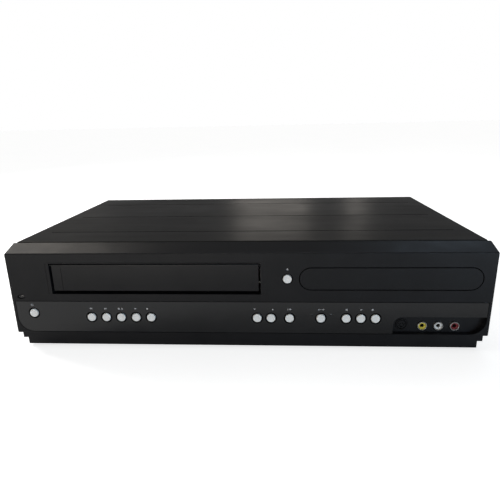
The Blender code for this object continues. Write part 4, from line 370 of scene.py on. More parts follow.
def turned(name, profile, place, turn=FRONT, sides=FINE_SIDES, stretch=1.0):
    """Closed or open turned shape; profile is (radius, distance along the axis) pairs."""
    bm = bmesh.new()
    rings = []
    for radius, along in profile:
        if radius < MERGE:
            rings.append([bm.verts.new((0, 0, along))])
            continue
        ring = []
        for i in range(sides):
            angle = 2 * math.pi * i / sides
            ring.append(bm.verts.new((stretch * radius * math.cos(angle), radius * math.sin(angle), along)))
        rings.append(ring)
    for first, second in zip(rings, rings[1:]):
        for i in range(sides):
            j = (i + 1) % sides
            corners = [first[i % len(first)], first[j % len(first)],
                       second[j % len(second)], second[i % len(second)]]
            unique = list(dict.fromkeys(corners))
            if len(unique) > 2:
                bm.faces.new(unique)
    bmesh.ops.transform(bm, matrix=Matrix.Translation(place) @ turn, verts=bm.verts)
    return mesh_from(bm, name)


def arc(centre, radius, start, end, steps=12):
    points = []
    for i in range(steps + 1):
        angle = math.radians(start + (end - start) * i / steps)
        points.append((centre[0] + radius * math.cos(angle), centre[1] + radius * math.sin(angle)))
    return points


def circle(centre, radius, steps=FINE_SIDES):
    return arc(centre, radius, 0, 360, steps)[:-1]


def rounded(left, right, bottom, top, lower, upper, steps=12):
    points = arc((left + lower, bottom + lower), lower, 180, 270, steps)
    points += arc((right - lower, bottom + lower), lower, 270, 360, steps)
    points += arc((right - upper, top - upper), upper, 0, 90, steps)
    points += arc((left + upper, top - upper), upper, 90, 180, steps)
    return points


def plate(name, outlines, near, far):
    """Flat piece facing the front with any holes; outlines are lists of (x, height) points."""
    curve = bpy.data.curves.new(name, "CURVE")
    curve.dimensions = "2D"
    curve.fill_mode = "BOTH"
    curve.extrude = (far - near) / 2
    for points in outlines:
        spline = curve.splines.new("POLY")
        spline.points.add(len(points) - 1)
        for point, (u, v) in zip(spline.points, points):
            point.co = (u, v, 0, 1)
        spline.use_cyclic_u = True
    guide = bpy.data.objects.new(name + "_guide", curve)
    bpy.context.scene.collection.objects.link(guide)
    graph = bpy.context.evaluated_depsgraph_get()
    mesh = bpy.data.meshes.new_from_object(guide.evaluated_get(graph))
    bpy.data.objects.remove(guide)
    bpy.data.curves.remove(curve)
    bm = bmesh.new()
    bm.from_mesh(mesh)
    bpy.data.meshes.remove(mesh)
    bmesh.ops.remove_doubles(bm, verts=bm.verts, dist=MERGE)
    middle = place_at(0, (near + far) / 2, 0)
    bmesh.ops.transform(bm, matrix=Matrix.Translation(middle) @ FRONT, verts=bm.verts)
    return mesh_from(bm, name)


def joined(name, meshes):
    """One mesh of several."""
    bm = bmesh.new()
    for mesh in meshes:
        bm.from_mesh(mesh)
        bpy.data.meshes.remove(mesh)
    return mesh_from(bm, name)


def middle_of(node):
    low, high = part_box(node)
    return (low + high) / 2


def on_face(node):
    """Point of the front face that lies before the middle of a node."""
    centre = middle_of(node)
    return Vector((centre.x, FACE_Y, centre.z))


# Front of the player

BUTTON_RADIUS = 3.9 * MM
BUTTON_SHOULDER = 0.6 * MM
BUTTON_DISH_RADIUS = 2.4 * MM
BUTTON_DISH = 0.28 * MM
BUTTON_SKIRT = 2.6 * MM
STEM_INSET = 0.2 * MM
STEM_DEPTH = 5.5 * MM
STEM_FLANGE_REACH = 1.2 * MM
STEM_FLANGE_THICKNESS = 1.2 * MM
STRIP_HOLE = 5.4 * MM
PANEL_HOLE = 5.0 * MM
FUNNEL_SEAT = 0.02 * MM
FUNNEL_PLAY = 0.15 * MM
FUNNEL_START = 0.06 * MM
FUNNEL_THROAT = 0.7 * MM
FUNNEL_DEPTH = 1.8 * MM
CONTROL_BUTTONS = [name for name in SLOT_NODES["button_silver"] if name != "open_close_button"]


def make_cap(name):
    """Pale cap with a soft shoulder and a shallow dish."""
    proud = FACE_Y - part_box(name)[0].y
    flat = BUTTON_RADIUS - BUTTON_SHOULDER
    profile = [(0, proud - BUTTON_DISH)]
    for share in (0.35, 0.65, 0.85, 1.0):
        profile.append((BUTTON_DISH_RADIUS * share, proud - BUTTON_DISH * (1 - share ** 2)))
    for degrees in (0, 25, 50, 75, 90):
        angle = math.radians(degrees)
        out, back = math.sin(angle), 1 - math.cos(angle)
        profile.append((flat + BUTTON_SHOULDER * out, proud - BUTTON_SHOULDER * back))
    profile += [(BUTTON_RADIUS, -BUTTON_SKIRT), (0, -BUTTON_SKIRT)]
    add_piece(name + "_cap", turned(name + "_cap", profile, on_face(name)), "button_silver", name, (name,))


def make_stem(name):
    """Stem behind the cap, painted near-black as the shade in the gap round the cap, with a flange behind
    the panel.
    """
    radius = BUTTON_RADIUS - STEM_INSET
    flange = STRIP_HOLE + STEM_FLANGE_REACH
    end = STEM_DEPTH + STEM_FLANGE_THICKNESS
    profile = [(0, -BUTTON_SKIRT), (radius, -BUTTON_SKIRT), (radius, -STEM_DEPTH), (flange, -STEM_DEPTH),
               (flange, -end), (0, -end)]
    add_piece(name + "_stem", turned(name + "_stem", profile, on_face(name)), "black_plastic", name,
              material=MATERIALS["painted_hole_shade"])


def make_funnel(name):
    """Ring that narrows the hole towards the button, painted near-black as the shade down the hole."""
    mouth = (PANEL_HOLE if name == "open_close_button" else STRIP_HOLE) - FUNNEL_SEAT
    throat = BUTTON_RADIUS + FUNNEL_PLAY
    profile = [(mouth, -FUNNEL_START), (throat, -FUNNEL_THROAT), (throat, -FUNNEL_DEPTH),
               (mouth, -FUNNEL_DEPTH), (mouth, -FUNNEL_START)]
    add_piece(name + "_funnel", turned(name + "_funnel", profile, on_face(name)), "black_plastic",
              material=MATERIALS["painted_hole_shade"])


def make_buttons():
    for name in SLOT_NODES["button_silver"]:
        make_cap(name)
        make_stem(name)
        make_funnel(name)


STRIP_CORNER = 14 * MM
STRIP_EDGE = 0.2 * MM
NOTCH_LEFT = 133.5 * MM
NOTCH_TOP = 33.0 * MM
NOTCH_CORNER = 8 * MM


def strip_outline():
    """Outline of the control strip with the notch for the sockets at its right end."""
    left, right = STRIP_LOW.x, STRIP_HIGH.x
    bottom, top = STRIP_LOW.z, STRIP_HIGH.z
    points = arc((left + STRIP_CORNER, bottom + STRIP_CORNER), STRIP_CORNER, 180, 270, 24)
    points += [(NOTCH_LEFT, bottom)]
    points += arc((NOTCH_LEFT + NOTCH_CORNER, NOTCH_TOP - NOTCH_CORNER), NOTCH_CORNER, 180, 90, 16)
    points += [(right, NOTCH_TOP), (right, top), (left, top)]
    return points


def make_strip():
    """Glossier strip under the openings, with a round hole for each button."""
    places = [on_face(name) for name in CONTROL_BUTTONS]
    holes = [circle((place.x, place.z), STRIP_HOLE) for place in places]
    mesh = plate("strip", [strip_outline()] + holes, 0, STRIP_HIGH.y - STRIP_LOW.y)
    add_piece("strip", mesh, "strip_plastic", "root", ("control_strip",), STRIP_EDGE)


DRAWER_EDGE = 0.35 * MM


def make_drawer_front():
    """Flat plate with round ends on the disc tray."""
    left, right = DRAWER_LOW.x, DRAWER_HIGH.x
    bottom, top = DRAWER_LOW.z, DRAWER_HIGH.z
    half = (top - bottom) / 2
    mesh = plate("drawer_face", [rounded(left, right, bottom, top, half, half, 24)], 0,
                 DRAWER_HIGH.y - DRAWER_LOW.y)
    add_piece("drawer_face", mesh, "black_plastic", "tray", ("tray_front",), DRAWER_EDGE)


# Lens of the power lamp: how far it is sunk at shares of its radius
LENS_DOME = ((0, 0.32 * MM), (0.5, 0.38 * MM), (0.85, 0.55 * MM), (1, 0.8 * MM))
LENS_DEPTH = 2.5 * MM
LIGHT_PIPE = 1.3 * MM


def make_lamp_window():
    """Smoked oval lens, slightly domed, with its light pipe behind."""
    low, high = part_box("power_lamp_window")
    radius = (high.z - low.z) / 2
    pipe_end = FACE_Y - high.y
    profile = [(radius * share, -sunk) for share, sunk in LENS_DOME]
    profile += [(radius, -LENS_DEPTH), (LIGHT_PIPE, -LENS_DEPTH), (LIGHT_PIPE, pipe_end), (0, pipe_end)]
    mesh = turned("lamp_lens", profile, on_face("power_lamp_window"), FRONT, MEDIUM_SIDES,
                  (high.x - low.x) / 2 / radius)
    add_piece("lamp_lens", mesh, "lamp_window", "root", ("power_lamp_window",))


PHONO_RADIUS = 4.15 * MM
PHONO_Z = 22.2 * MM
PHONO_BORE = 1.7 * MM
PHONO_LIP = 0.8 * MM
PHONO_BLOCK_DEPTH = 8.3 * MM
PHONO_INSERT_SUNK = 1.1 * MM
CONTACT_SUNK = 3 * MM


def make_phono(name, colour):
    """Nickel barrel with a sunk coloured insert, a bore, and a sprung contact down it painted near-black as
    the bore's shade.
    """
    low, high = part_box(name)
    x = middle_of(name).x
    place = Vector((x, FACE_Y, PHONO_Z))
    outer, inner = PHONO_RADIUS, PHONO_RADIUS - PHONO_LIP
    front, back = FACE_Y - low.y, FACE_Y - high.y
    block_front = -PHONO_BLOCK_DEPTH
    outer_round, inner_round, seat = 0.3 * MM, 0.2 * MM, 1 * MM
    barrel = turned(name + "_barrel", [
        (inner, block_front + seat), (inner, front - outer_round), (inner + inner_round, front),
        (outer - outer_round, front), (outer, front - outer_round), (outer, block_front - seat),
        (0, block_front - seat)], place)
    side = high.x - low.x
    block = bmesh.new()
    bmesh.ops.create_cube(block, size=1)
    bmesh.ops.scale(block, vec=(side, block_front - back, side), verts=block.verts)
    middle = place_at(x, -(block_front + back) / 2, low.z + side / 2)
    bmesh.ops.translate(block, vec=middle, verts=block.verts)
    mesh = joined(name + "_shell", [barrel, mesh_from(block, name + "_block")])
    add_piece(name + "_shell", mesh, "machined_metal", "root", (name,))

    face = front - PHONO_INSERT_SUNK
    foot, play, lead_in, chamfer, rim = 0.6 * MM, 0.02 * MM, 0.3 * MM, 0.4 * MM, 0.45 * MM
    insert = turned(name + "_insert", [
        (PHONO_BORE, block_front + foot), (PHONO_BORE, face - chamfer), (PHONO_BORE + lead_in, face),
        (inner - 0.5 * MM, face), (inner - play, face + rim), (inner - play, block_front + foot)], place)
    add_piece(name + "_insert", insert, colour, "root")

    sunk = face - CONTACT_SUNK
    contact = turned(name + "_contact", [
        (0, sunk), (PHONO_BORE - 0.5 * MM, sunk), (PHONO_BORE - 0.4 * MM, face - 1.6 * MM),
        (PHONO_BORE - 0.1 * MM, face - 1.4 * MM), (PHONO_BORE - play, face - 2 * MM),
        (PHONO_BORE - play, sunk - 0.1 * MM), (0, sunk - 0.1 * MM)], place, FRONT, MEDIUM_SIDES)
    add_piece(name + "_contact", contact, "black_plastic", "root", material=MATERIALS["painted_hole_shade"])


SVIDEO_WALL = 1.1 * MM
SVIDEO_PLAY = 0.55 * MM
SVIDEO_SUNK = 0.35 * MM
SVIDEO_CAVITY = 2.4 * MM
SVIDEO_EDGE = 0.08 * MM
PIN_HOLE = 0.55 * MM
PIN_PLACES = ((-1.1 * MM, 1.0 * MM), (1.1 * MM, 1.0 * MM), (-2.0 * MM, -0.7 * MM), (2.0 * MM, -0.7 * MM))
NOTCH_REACH = 2.9 * MM
NOTCH_HALF = 0.25 * MM


def make_svideo():
    """Round black socket: a proud ring, an insert with four pin holes and a key slot."""
    low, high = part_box("svideo_socket")
    outer = (high.x - low.x) / 2
    inner = outer - SVIDEO_WALL
    front, back = low.y - FACE_Y, high.y - FACE_Y
    place = on_face("svideo_socket")
    cavity, outer_round, inner_round = front + SVIDEO_CAVITY, 0.3 * MM, 0.2 * MM
    ring = turned("svideo_ring", [
        (inner, -cavity), (inner, -front - inner_round), (inner + inner_round, -front),
        (outer - outer_round, -front), (outer, -front - outer_round), (outer, -back), (0, -back),
        (0, -cavity)], place)
    add_piece("svideo_ring", ring, "black_plastic", "root", ("svideo_socket",))

    x, z = place.x, place.z
    outlines = [circle((x, z), inner - SVIDEO_PLAY)]
    for across, up in PIN_PLACES:
        outlines.append(circle((x + across, z + up), PIN_HOLE, PIN_SIDES))
    outlines.append(rounded(x - 1.1 * MM, x + 1.1 * MM, z - 2.7 * MM, z - 1.7 * MM, 0.2 * MM, 0.2 * MM, 4))
    for side in (-1, 1):
        middle = x + side * NOTCH_REACH
        outlines.append(rounded(middle - NOTCH_HALF, middle + NOTCH_HALF, z + 0.4 * MM, z + 1.4 * MM,
                                0.1 * MM, 0.1 * MM, 3))
    face = plate("svideo_insert", outlines, front + SVIDEO_SUNK, cavity)
    add_piece("svideo_insert", face, "black_plastic", "root", edge=SVIDEO_EDGE)


DOOR_PIN_REACH = 3.1 * MM
DOOR_PIN = 0.8 * MM
DOOR_FRONT_ROUND = 0.4 * MM
DOOR_BACK_ROUND = 0.3 * MM
DOOR_END_ROUND = 0.25 * MM
DOOR_GROOVE_X = -167 * MM
DOOR_GROOVE_HALF = 0.25 * MM
DOOR_GROOVE_DEPTH = 0.2 * MM


def make_door():
    """Cassette flap: flat front with soft edges, a rolled top and a fine upright groove."""
    front, back = DOOR_LOW.y, DOOR_HIGH.y
    bottom, top = DOOR_LOW.z, DOOR_HIGH.z
    radius = (back - front) / 2
    left, right = DOOR_LOW.x + DOOR_PIN_REACH, DOOR_HIGH.x - DOOR_PIN_REACH
    section = [(front, bottom + DOOR_FRONT_ROUND), (front + DOOR_FRONT_ROUND, bottom),
               (back - DOOR_BACK_ROUND, bottom), (back, bottom + DOOR_BACK_ROUND)]
    for degrees in range(0, 181, 12):
        angle = math.radians(degrees)
        section.append((front + radius + radius * math.cos(angle), top - radius + radius * math.sin(angle)))
    groove_left, groove_right = DOOR_GROOVE_X - DOOR_GROOVE_HALF, DOOR_GROOVE_X + DOOR_GROOVE_HALF
    stations = [(left, DOOR_END_ROUND), (left + DOOR_END_ROUND, 0), (groove_left, 0),
                (groove_left, DOOR_GROOVE_DEPTH), (groove_right, DOOR_GROOVE_DEPTH), (groove_right, 0),
                (right - DOOR_END_ROUND, 0), (right, DOOR_END_ROUND)]
    bm = bmesh.new()
    rows = []
    for x, inset in stations:
        rows.append([bm.verts.new((x, max(y, front + inset), z)) for y, z in section])
    for first, second in zip(rows, rows[1:]):
        for i in range(len(section)):
            j = (i + 1) % len(section)
            bm.faces.new((first[i], first[j], second[j], second[i]))
    bm.faces.new(rows[0])
    bm.faces.new(rows[-1])
    bmesh.ops.remove_doubles(bm, verts=bm.verts, dist=MERGE)
    body = mesh_from(bm, "flap_body")
    ends = DOOR_LOW.x, DOOR_HIGH.x
    pins = turned("flap_pins", [(0, ends[0]), (DOOR_PIN, ends[0]), (DOOR_PIN, ends[1]), (0, ends[1])],
                  Vector((0, front + radius, top - radius)), RIGHT, COARSE_SIDES)
    add_piece("cassette_flap", joined("cassette_flap", [body, pins]), "black_plastic", "cassette_door",
              ("cassette_door",))


BEAD_WIDTH = 0.9 * MM
BEAD_SIDE_GAP = 1.95 * MM
BEAD_FOOT_GAP = 2.65 * MM
BEAD_TOP_GAP = 1.0 * MM
BEAD_PROUD = 0.22 * MM
BEAD_SUNK = 0.3 * MM
BEAD_EDGE = 0.2 * MM


def make_bead():
    """Fine raised bead round the cassette opening."""
    left, right = DOOR_LOW.x - BEAD_SIDE_GAP, DOOR_HIGH.x + BEAD_SIDE_GAP
    bottom, top = DOOR_LOW.z - BEAD_FOOT_GAP, DOOR_HIGH.z + BEAD_TOP_GAP
    outline = rounded(left - BEAD_WIDTH, right + BEAD_WIDTH, bottom - BEAD_WIDTH, top + BEAD_WIDTH,
                      1.6 * MM, 1.2 * MM, 6)
    opening = rounded(left, right, bottom, top, 0.7 * MM, 0.3 * MM, 6)
    mesh = plate("opening_bead", [outline, opening], -BEAD_PROUD, BEAD_SUNK)
    add_piece("opening_bead", mesh, "black_plastic", "root", edge=BEAD_EDGE)


# Marks printed on the front

MARK_HEIGHT = 1.9 * MM
MARK_Z = 39.9 * MM
INK = 0.04 * MM
RECORD_MARK_SHIFT = 3.1 * MM
TRACKING_DOWN_SHIFT = 2.2 * MM
TRACKING_UP_SHIFT = 1.6 * MM
POWER_MARK_SHIFT = 0.8 * MM
POWER_MARK_RISE = 8.0 * MM
OPEN_MARK_RISE = 9.3 * MM


def triangle(x, z, half, height, way=1):
    """Triangle that points right, or left with way -1."""
    return [(x - way * half, z - height), (x + way * half, z), (x - way * half, z + height)]


def bar(left, right, bottom, top):
    return [(left, bottom), (right, bottom), (right, top), (left, top)]


def double_triangle(x, z, way):
    size = MARK_HEIGHT / 2
    half = size / 1.6
    return [triangle(x - half, z, half, size, way), triangle(x + half, z, half, size, way)]


def eject_mark(x, z, size):
    return [[(x - size, z - size * 0.25), (x + size, z - size * 0.25), (x, z + size)],
            bar(x - size, x + size, z - size, z - size * 0.6)]


def power_mark(x, z):
    """Ring with a gap at its top and a stroke through the gap."""
    outer, inner = MARK_HEIGHT * 0.62, MARK_HEIGHT * 0.45
    ring = arc((x, z), outer, 125, 415, 28) + arc((x, z), inner, 415, 125, 28)
    stroke = MARK_HEIGHT * 0.08
    return [ring, bar(x - stroke, x + stroke, z + inner * 0.1, z + outer * 1.1)]


def make_marks():
    """Plain transport marks above the buttons."""
    size = MARK_HEIGHT / 2
    x = {name: middle_of(name).x for name in CONTROL_BUTTONS}
    z = MARK_Z
    shapes = double_triangle(x["rewind_button"], z, -1)
    shapes += double_triangle(x["fast_forward_button"], z, 1)
    shapes += [bar(x["tape_stop_button"] - 2.6 * size, x["tape_stop_button"] - 0.9 * size, z - 0.85 * size,
                   z + 0.85 * size)]
    shapes += eject_mark(x["tape_stop_button"] + 1.4 * size, z, 0.95 * size)
    for deck in ("tape", "disc"):
        shapes += [triangle(x[deck + "_play_button"], z, 0.9 * size, size)]
        shapes += [circle((x[deck + "_record_button"] - RECORD_MARK_SHIFT, z), 0.9 * size, COARSE_SIDES)]
    stop = x["disc_stop_button"]
    shapes += [bar(stop - 0.85 * size, stop + 0.85 * size, z - 0.85 * size, z + 0.85 * size)]
    down = x["tracking_down_button"] - TRACKING_DOWN_SHIFT
    up = x["tracking_up_button"] + TRACKING_UP_SHIFT
    shapes += [[(down - size, z + 0.8 * size), (down + size, z + 0.8 * size), (down, z - 0.8 * size)],
               [(up - size, z - 0.8 * size), (up + size, z - 0.8 * size), (up, z + 0.8 * size)]]
    shapes += double_triangle(x["dubbing_button"] + 0.5 * size, z, 1) + [
        bar(x["dubbing_button"] - 2.2 * size, x["dubbing_button"] - 1.9 * size, z - size, z + size)]
    source = x["source_button"]
    shapes += [triangle(source - 2.4 * size, z, 0.8 * size, 0.8 * size, -1),
               bar(source - 1.1 * size, source + 1.1 * size, z - 0.16 * size, z + 0.16 * size),
               triangle(source + 2.4 * size, z, 0.8 * size, 0.8 * size)]
    shapes += power_mark(x["power_button"] - POWER_MARK_SHIFT, middle_of("power_button").z + POWER_MARK_RISE)
    opener = middle_of("open_close_button")
    shapes += eject_mark(opener.x, opener.z + OPEN_MARK_RISE, 0.95 * size)
    meshes = [plate(f"mark_{i}", [points], -INK, INK) for i, points in enumerate(shapes)]
    add_piece("printed_marks", joined("printed_marks", meshes), None, material=print_ink("printed_ink"))


INDICATOR_PROFILE = ((0, 0.12 * MM), (0.8 * MM, 0.08 * MM), (1.0 * MM, 0), (1.0 * MM, -0.3 * MM),
                     (0, -0.3 * MM))
INDICATOR_RISE = 3.3 * MM
INDICATOR_SHIFTS = (("tape_indicator", -8.3 * MM), ("disc_indicator", 8.7 * MM))


def make_indicators():
    """Two small dark lamp windows beside the source button."""
    source = middle_of("source_button")
    for name, shift in INDICATOR_SHIFTS:
        place = Vector((source.x + shift, FACE_Y, source.z + INDICATOR_RISE))
        add_piece(name, turned(name, INDICATOR_PROFILE, place, FRONT, MEDIUM_SIDES), "lamp_window")


# Rear, sides and underside

# Sole of a foot: how far inside the rim, and how high
FOOT_SOLE = ((5 * MM, 0.5 * MM), (4.6 * MM, 0), (2.2 * MM, 0), (1.5 * MM, 0.5 * MM))
FOOT_HOLLOW = 0.5 * MM
FOOT_HEIGHT = 9.7 * MM
FOOT_PEG = 2.4 * MM


def make_feet():
    """Round rubber feet with a soft rim and a ring on the sole."""
    for name in ("foot_front_left", "foot_front_right", "foot_rear_left", "foot_rear_right"):
        low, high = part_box(name)
        centre = middle_of(name)
        radius = (high.x - low.x) / 2
        profile = [(0, FOOT_HOLLOW)]
        profile += [(radius - inset, height) for inset, height in FOOT_SOLE]
        profile += [(radius - 0.3 * MM, FOOT_HEIGHT - 1 * MM), (radius - 0.4 * MM, FOOT_HEIGHT - 0.3 * MM),
                    (radius - 0.8 * MM, FOOT_HEIGHT), (FOOT_PEG, FOOT_HEIGHT), (FOOT_PEG, high.z),
                    (0, high.z)]
        mesh = turned(name + "_pad", profile, Vector((centre.x, centre.y, 0)), UP)
        add_piece(name + "_pad", mesh, "rubber", "root", (name,))


COVER_SCREW_HEAD = 1.5 * MM
COVER_SCREW_SHANK = 1.5 * MM
COVER_SCREW_REACH = 6 * MM


def make_cover_screws():
    """Pan heads with a round recess, and their shanks."""
    for side, turn in (("left", LEFT), ("right", RIGHT)):
        for end in ("front", "rear"):
            name = f"cover_screw_{side}_{end}"
            low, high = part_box(name)
            centre = middle_of(name)
            top = max(abs(low.x), abs(high.x))
            radius = (high.z - low.z) / 2
            seat = top - COVER_SCREW_HEAD
            tip = seat - COVER_SCREW_REACH
            profile = [(0, top - 0.9 * MM), (0.9 * MM, top - 0.5 * MM), (1.1 * MM, top),
                       (radius * 0.6, top - 0.05 * MM), (radius * 0.9, top - 0.45 * MM),
                       (radius, top - 1.0 * MM), (radius, seat), (COVER_SCREW_SHANK, seat),
                       (COVER_SCREW_SHANK, tip), (0, tip)]
            mesh = turned(name + "_head", profile, Vector((0, centre.y, centre.z)), turn, MEDIUM_SIDES)
            add_piece(name + "_head", mesh, "black_painted_steel", "root", (name,))


# Depths of the rear panel's face and of what stands out of it
REAR_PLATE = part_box("rear_panel")[1].y - FACE_Y
REAR_JACK_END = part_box("rear_jack_block")[1].y - FACE_Y
AERIAL_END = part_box("tuner_can")[1].y - FACE_Y
REAR_JACK_PITCH = 14 * MM
REAR_JACK_Z = 22 * MM
REAR_JACK_BORE = 1.75 * MM
SLEEVE_PLAY = 0.02 * MM
SLEEVE_WALL = 0.35 * MM
AERIAL_PITCH = 20 * MM
AERIAL_Z = 28 * MM
AERIAL_RADIUS = 4.7 * MM
THREAD_PITCH = 0.8 * MM
THREAD_START = 2.4 * MM
NUT_RADIUS = 6.3 * MM
NUT_HEIGHT = 1.9 * MM
THREAD_EDGE = 0.1 * MM


def rear_sleeve(place):
    inner, outer = PHONO_RADIUS + SLEEVE_PLAY, PHONO_RADIUS + SLEEVE_WALL
    foot, top, chamfer = REAR_PLATE + 0.1 * MM, REAR_JACK_END + 0.05 * MM, 0.1 * MM
    return turned("sleeve", [
        (inner, foot), (inner, top), (outer - chamfer, top), (outer, REAR_JACK_END - chamfer), (outer, foot),
        (inner, foot)], place, BACK, MEDIUM_SIDES)


def rear_ring(place):
    near, far = REAR_JACK_BORE, PHONO_RADIUS - SLEEVE_WALL
    seat, sunk, proud = REAR_JACK_END + SLEEVE_PLAY, 0.3 * MM, 0.15 * MM
    return turned("ring", [
        (near, seat - sunk), (near, seat), (near + 0.2 * MM, seat + proud), (far, seat + proud),
        (far + proud, seat), (far + proud, seat - sunk), (near, seat - sunk)], place, BACK, MEDIUM_SIDES)


def make_rear_jacks():
    """Nickel sleeves and coloured rings on the six rear phono barrels."""
    middle = middle_of("rear_jack_block").x
    colours = ("socket_yellow", "socket_white", "socket_red")
    sleeves = []
    rings = {colour: [] for colour in colours}
    for row in range(2):
        for column, colour in zip((-1, 0, 1), colours):
            place = Vector((middle + column * REAR_JACK_PITCH, FACE_Y, REAR_JACK_Z + row * REAR_JACK_PITCH))
            sleeves.append(rear_sleeve(place))
            rings[colour].append(rear_ring(place))
    add_piece("rear_sleeves", joined("rear_sleeves", sleeves), "machined_metal")
    for colour, meshes in rings.items():
        add_piece("rear_rings_" + colour, joined("rear_rings_" + colour, meshes), colour)


def make_aerial_threads():
    """Screw threads and hexagon nuts on the two aerial barrels."""
    middle = middle_of("tuner_can").x
    root, crest = AERIAL_RADIUS + 0.01 * MM, AERIAL_RADIUS + 0.3 * MM
    sunk = root - 0.4 * MM
    start = REAR_PLATE + THREAD_START
    count = int((AERIAL_END - start) / THREAD_PITCH)
    end = start + count * THREAD_PITCH
    nut_top = REAR_PLATE + NUT_HEIGHT
    thread = [(sunk, start)]
    for i in range(count):
        along = start + i * THREAD_PITCH
        thread += [(root, along + 0.1 * MM), (crest, along + 0.4 * MM)]
    thread += [(root, end), (sunk, end), (sunk, start)]
    nut = [(root, REAR_PLATE), (NUT_RADIUS, REAR_PLATE), (NUT_RADIUS, nut_top), (root, nut_top),
           (root, REAR_PLATE)]
    meshes = []
    for side in (-1, 1):
        place = Vector((middle + side * AERIAL_PITCH / 2, FACE_Y, AERIAL_Z))
        meshes.append(turned("thread", thread, place, BACK, MEDIUM_SIDES))
        meshes.append(turned("nut", nut, place, BACK, 6))
    add_piece("aerial_threads", joined("aerial_threads", meshes), "machined_metal", edge=THREAD_EDGE)


REAR_SCREW_INSET = 8 * MM
REAR_SCREW_FOOT = 12 * MM
REAR_SCREW_TOP_INSET = 7 * MM
REAR_SCREW_TOP_PLACES = (-70 * MM, 20 * MM)
JACK_SCREW_RISE = 24 * MM
JACK_SCREW_PLACES = (98 * MM, 154 * MM)
REAR_SCREW_HEIGHT = 1.4 * MM
REAR_SCREW_RADIUS = 2.8 * MM
CROSS_REACH = 1.3 * MM
CROSS_HALF = 0.25 * MM


def make_rear_screws():
    """Small pan-head screws round the edge of the rear panel, each with a thin near-black cross on its head
    as painted shade of a cross recess.
    """
    low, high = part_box("rear_panel")
    left, right = low.x + REAR_SCREW_INSET, high.x - REAR_SCREW_INSET
    spots = [(left, high.z - REAR_SCREW_INSET), (right, high.z - REAR_SCREW_INSET),
             (left, low.z + REAR_SCREW_FOOT), (right, low.z + REAR_SCREW_FOOT)]
    spots += [(x, high.z - REAR_SCREW_TOP_INSET) for x in REAR_SCREW_TOP_PLACES]
    spots += [(x, REAR_JACK_Z + JACK_SCREW_RISE) for x in JACK_SCREW_PLACES]
    top = REAR_PLATE + REAR_SCREW_HEIGHT
    head = [(0, top), (1.5 * MM, top - 0.1 * MM), (2.4 * MM, top - 0.5 * MM),
            (REAR_SCREW_RADIUS, REAR_PLATE + 0.3 * MM), (REAR_SCREW_RADIUS, REAR_PLATE), (0, REAR_PLATE)]
    heads, crosses = [], []
    for x, z in spots:
        heads.append(turned("head", head, Vector((x, FACE_Y, z)), BACK, MEDIUM_SIDES))
        for across, up in ((CROSS_REACH, CROSS_HALF), (CROSS_HALF, CROSS_REACH)):
            arm = bar(x - across, x + across, z - up, z + up)
            crosses.append(plate("arm", [arm], top - 0.3 * MM, top + 0.02 * MM))
    add_piece("rear_screw_heads", joined("rear_screw_heads", heads), "zinc_steel")
    # The crosses are thin near-black plates on the heads: painted shade of the cross recesses.
    add_piece("rear_screw_cross_shade", joined("rear_screw_cross_shade", crosses), None,
              material=MATERIALS["painted_hole_shade"])


# Studio

# Half the floor's width, and where its glow starts and is full for reflections
FLOOR_HALF = 40
FLOOR_GLOW_START = 0.5
FLOOR_GLOW_END = 1.2


def make_stage():
    """Pale floor that runs far behind, near white to the camera, with the player's shadow on it."""
    mesh = bpy.data.meshes.new("floor")
    bm = bmesh.new()
    bmesh.ops.create_grid(bm, x_segments=1, y_segments=1, size=FLOOR_HALF)
    bm.to_mesh(mesh)
    bm.free()
    floor = bpy.data.objects.new("floor", mesh)
    bpy.context.scene.collection.objects.link(floor)
    floor.location = (0, 0, CASE_LOW.z)
    material = bpy.data.materials.new("pale_floor")
    nodes = Nodes(material)
    cloud = nodes.spread(nodes.noise(0.4, 3), 0.0, 1.0)
    nodes.finish(nodes.blend(cloud, (0.78, 0.78, 0.78), (0.82, 0.82, 0.81)),
                 nodes.spread(nodes.noise(0.2, 2), 0.75, 0.85))
    nodes.shader.inputs["Specular IOR Level"].default_value = 0.0
    path = nodes.add("ShaderNodeLightPath")
    distance = nodes.add("ShaderNodeVectorMath", operation="LENGTH")
    nodes.link(nodes.coordinates, distance.inputs[0])
    far = nodes.spread(distance.outputs["Value"], 0.0, 1.0, FLOOR_GLOW_START, FLOOR_GLOW_END)
    mirrored = nodes.math("MAXIMUM", path.outputs["Is Glossy Ray"], path.outputs["Is Transmission Ray"])
    seen = nodes.math("MAXIMUM", path.outputs["Is Camera Ray"], nodes.math("MULTIPLY", mirrored, far))
    nodes.link(nodes.math("MULTIPLY", seen, FLOOR_GLOW), nodes.shader.inputs["Emission Strength"])
    nodes.shader.inputs["Emission Color"].default_value = (1, 1, 1, 1)
    floor.data.materials.append(material)


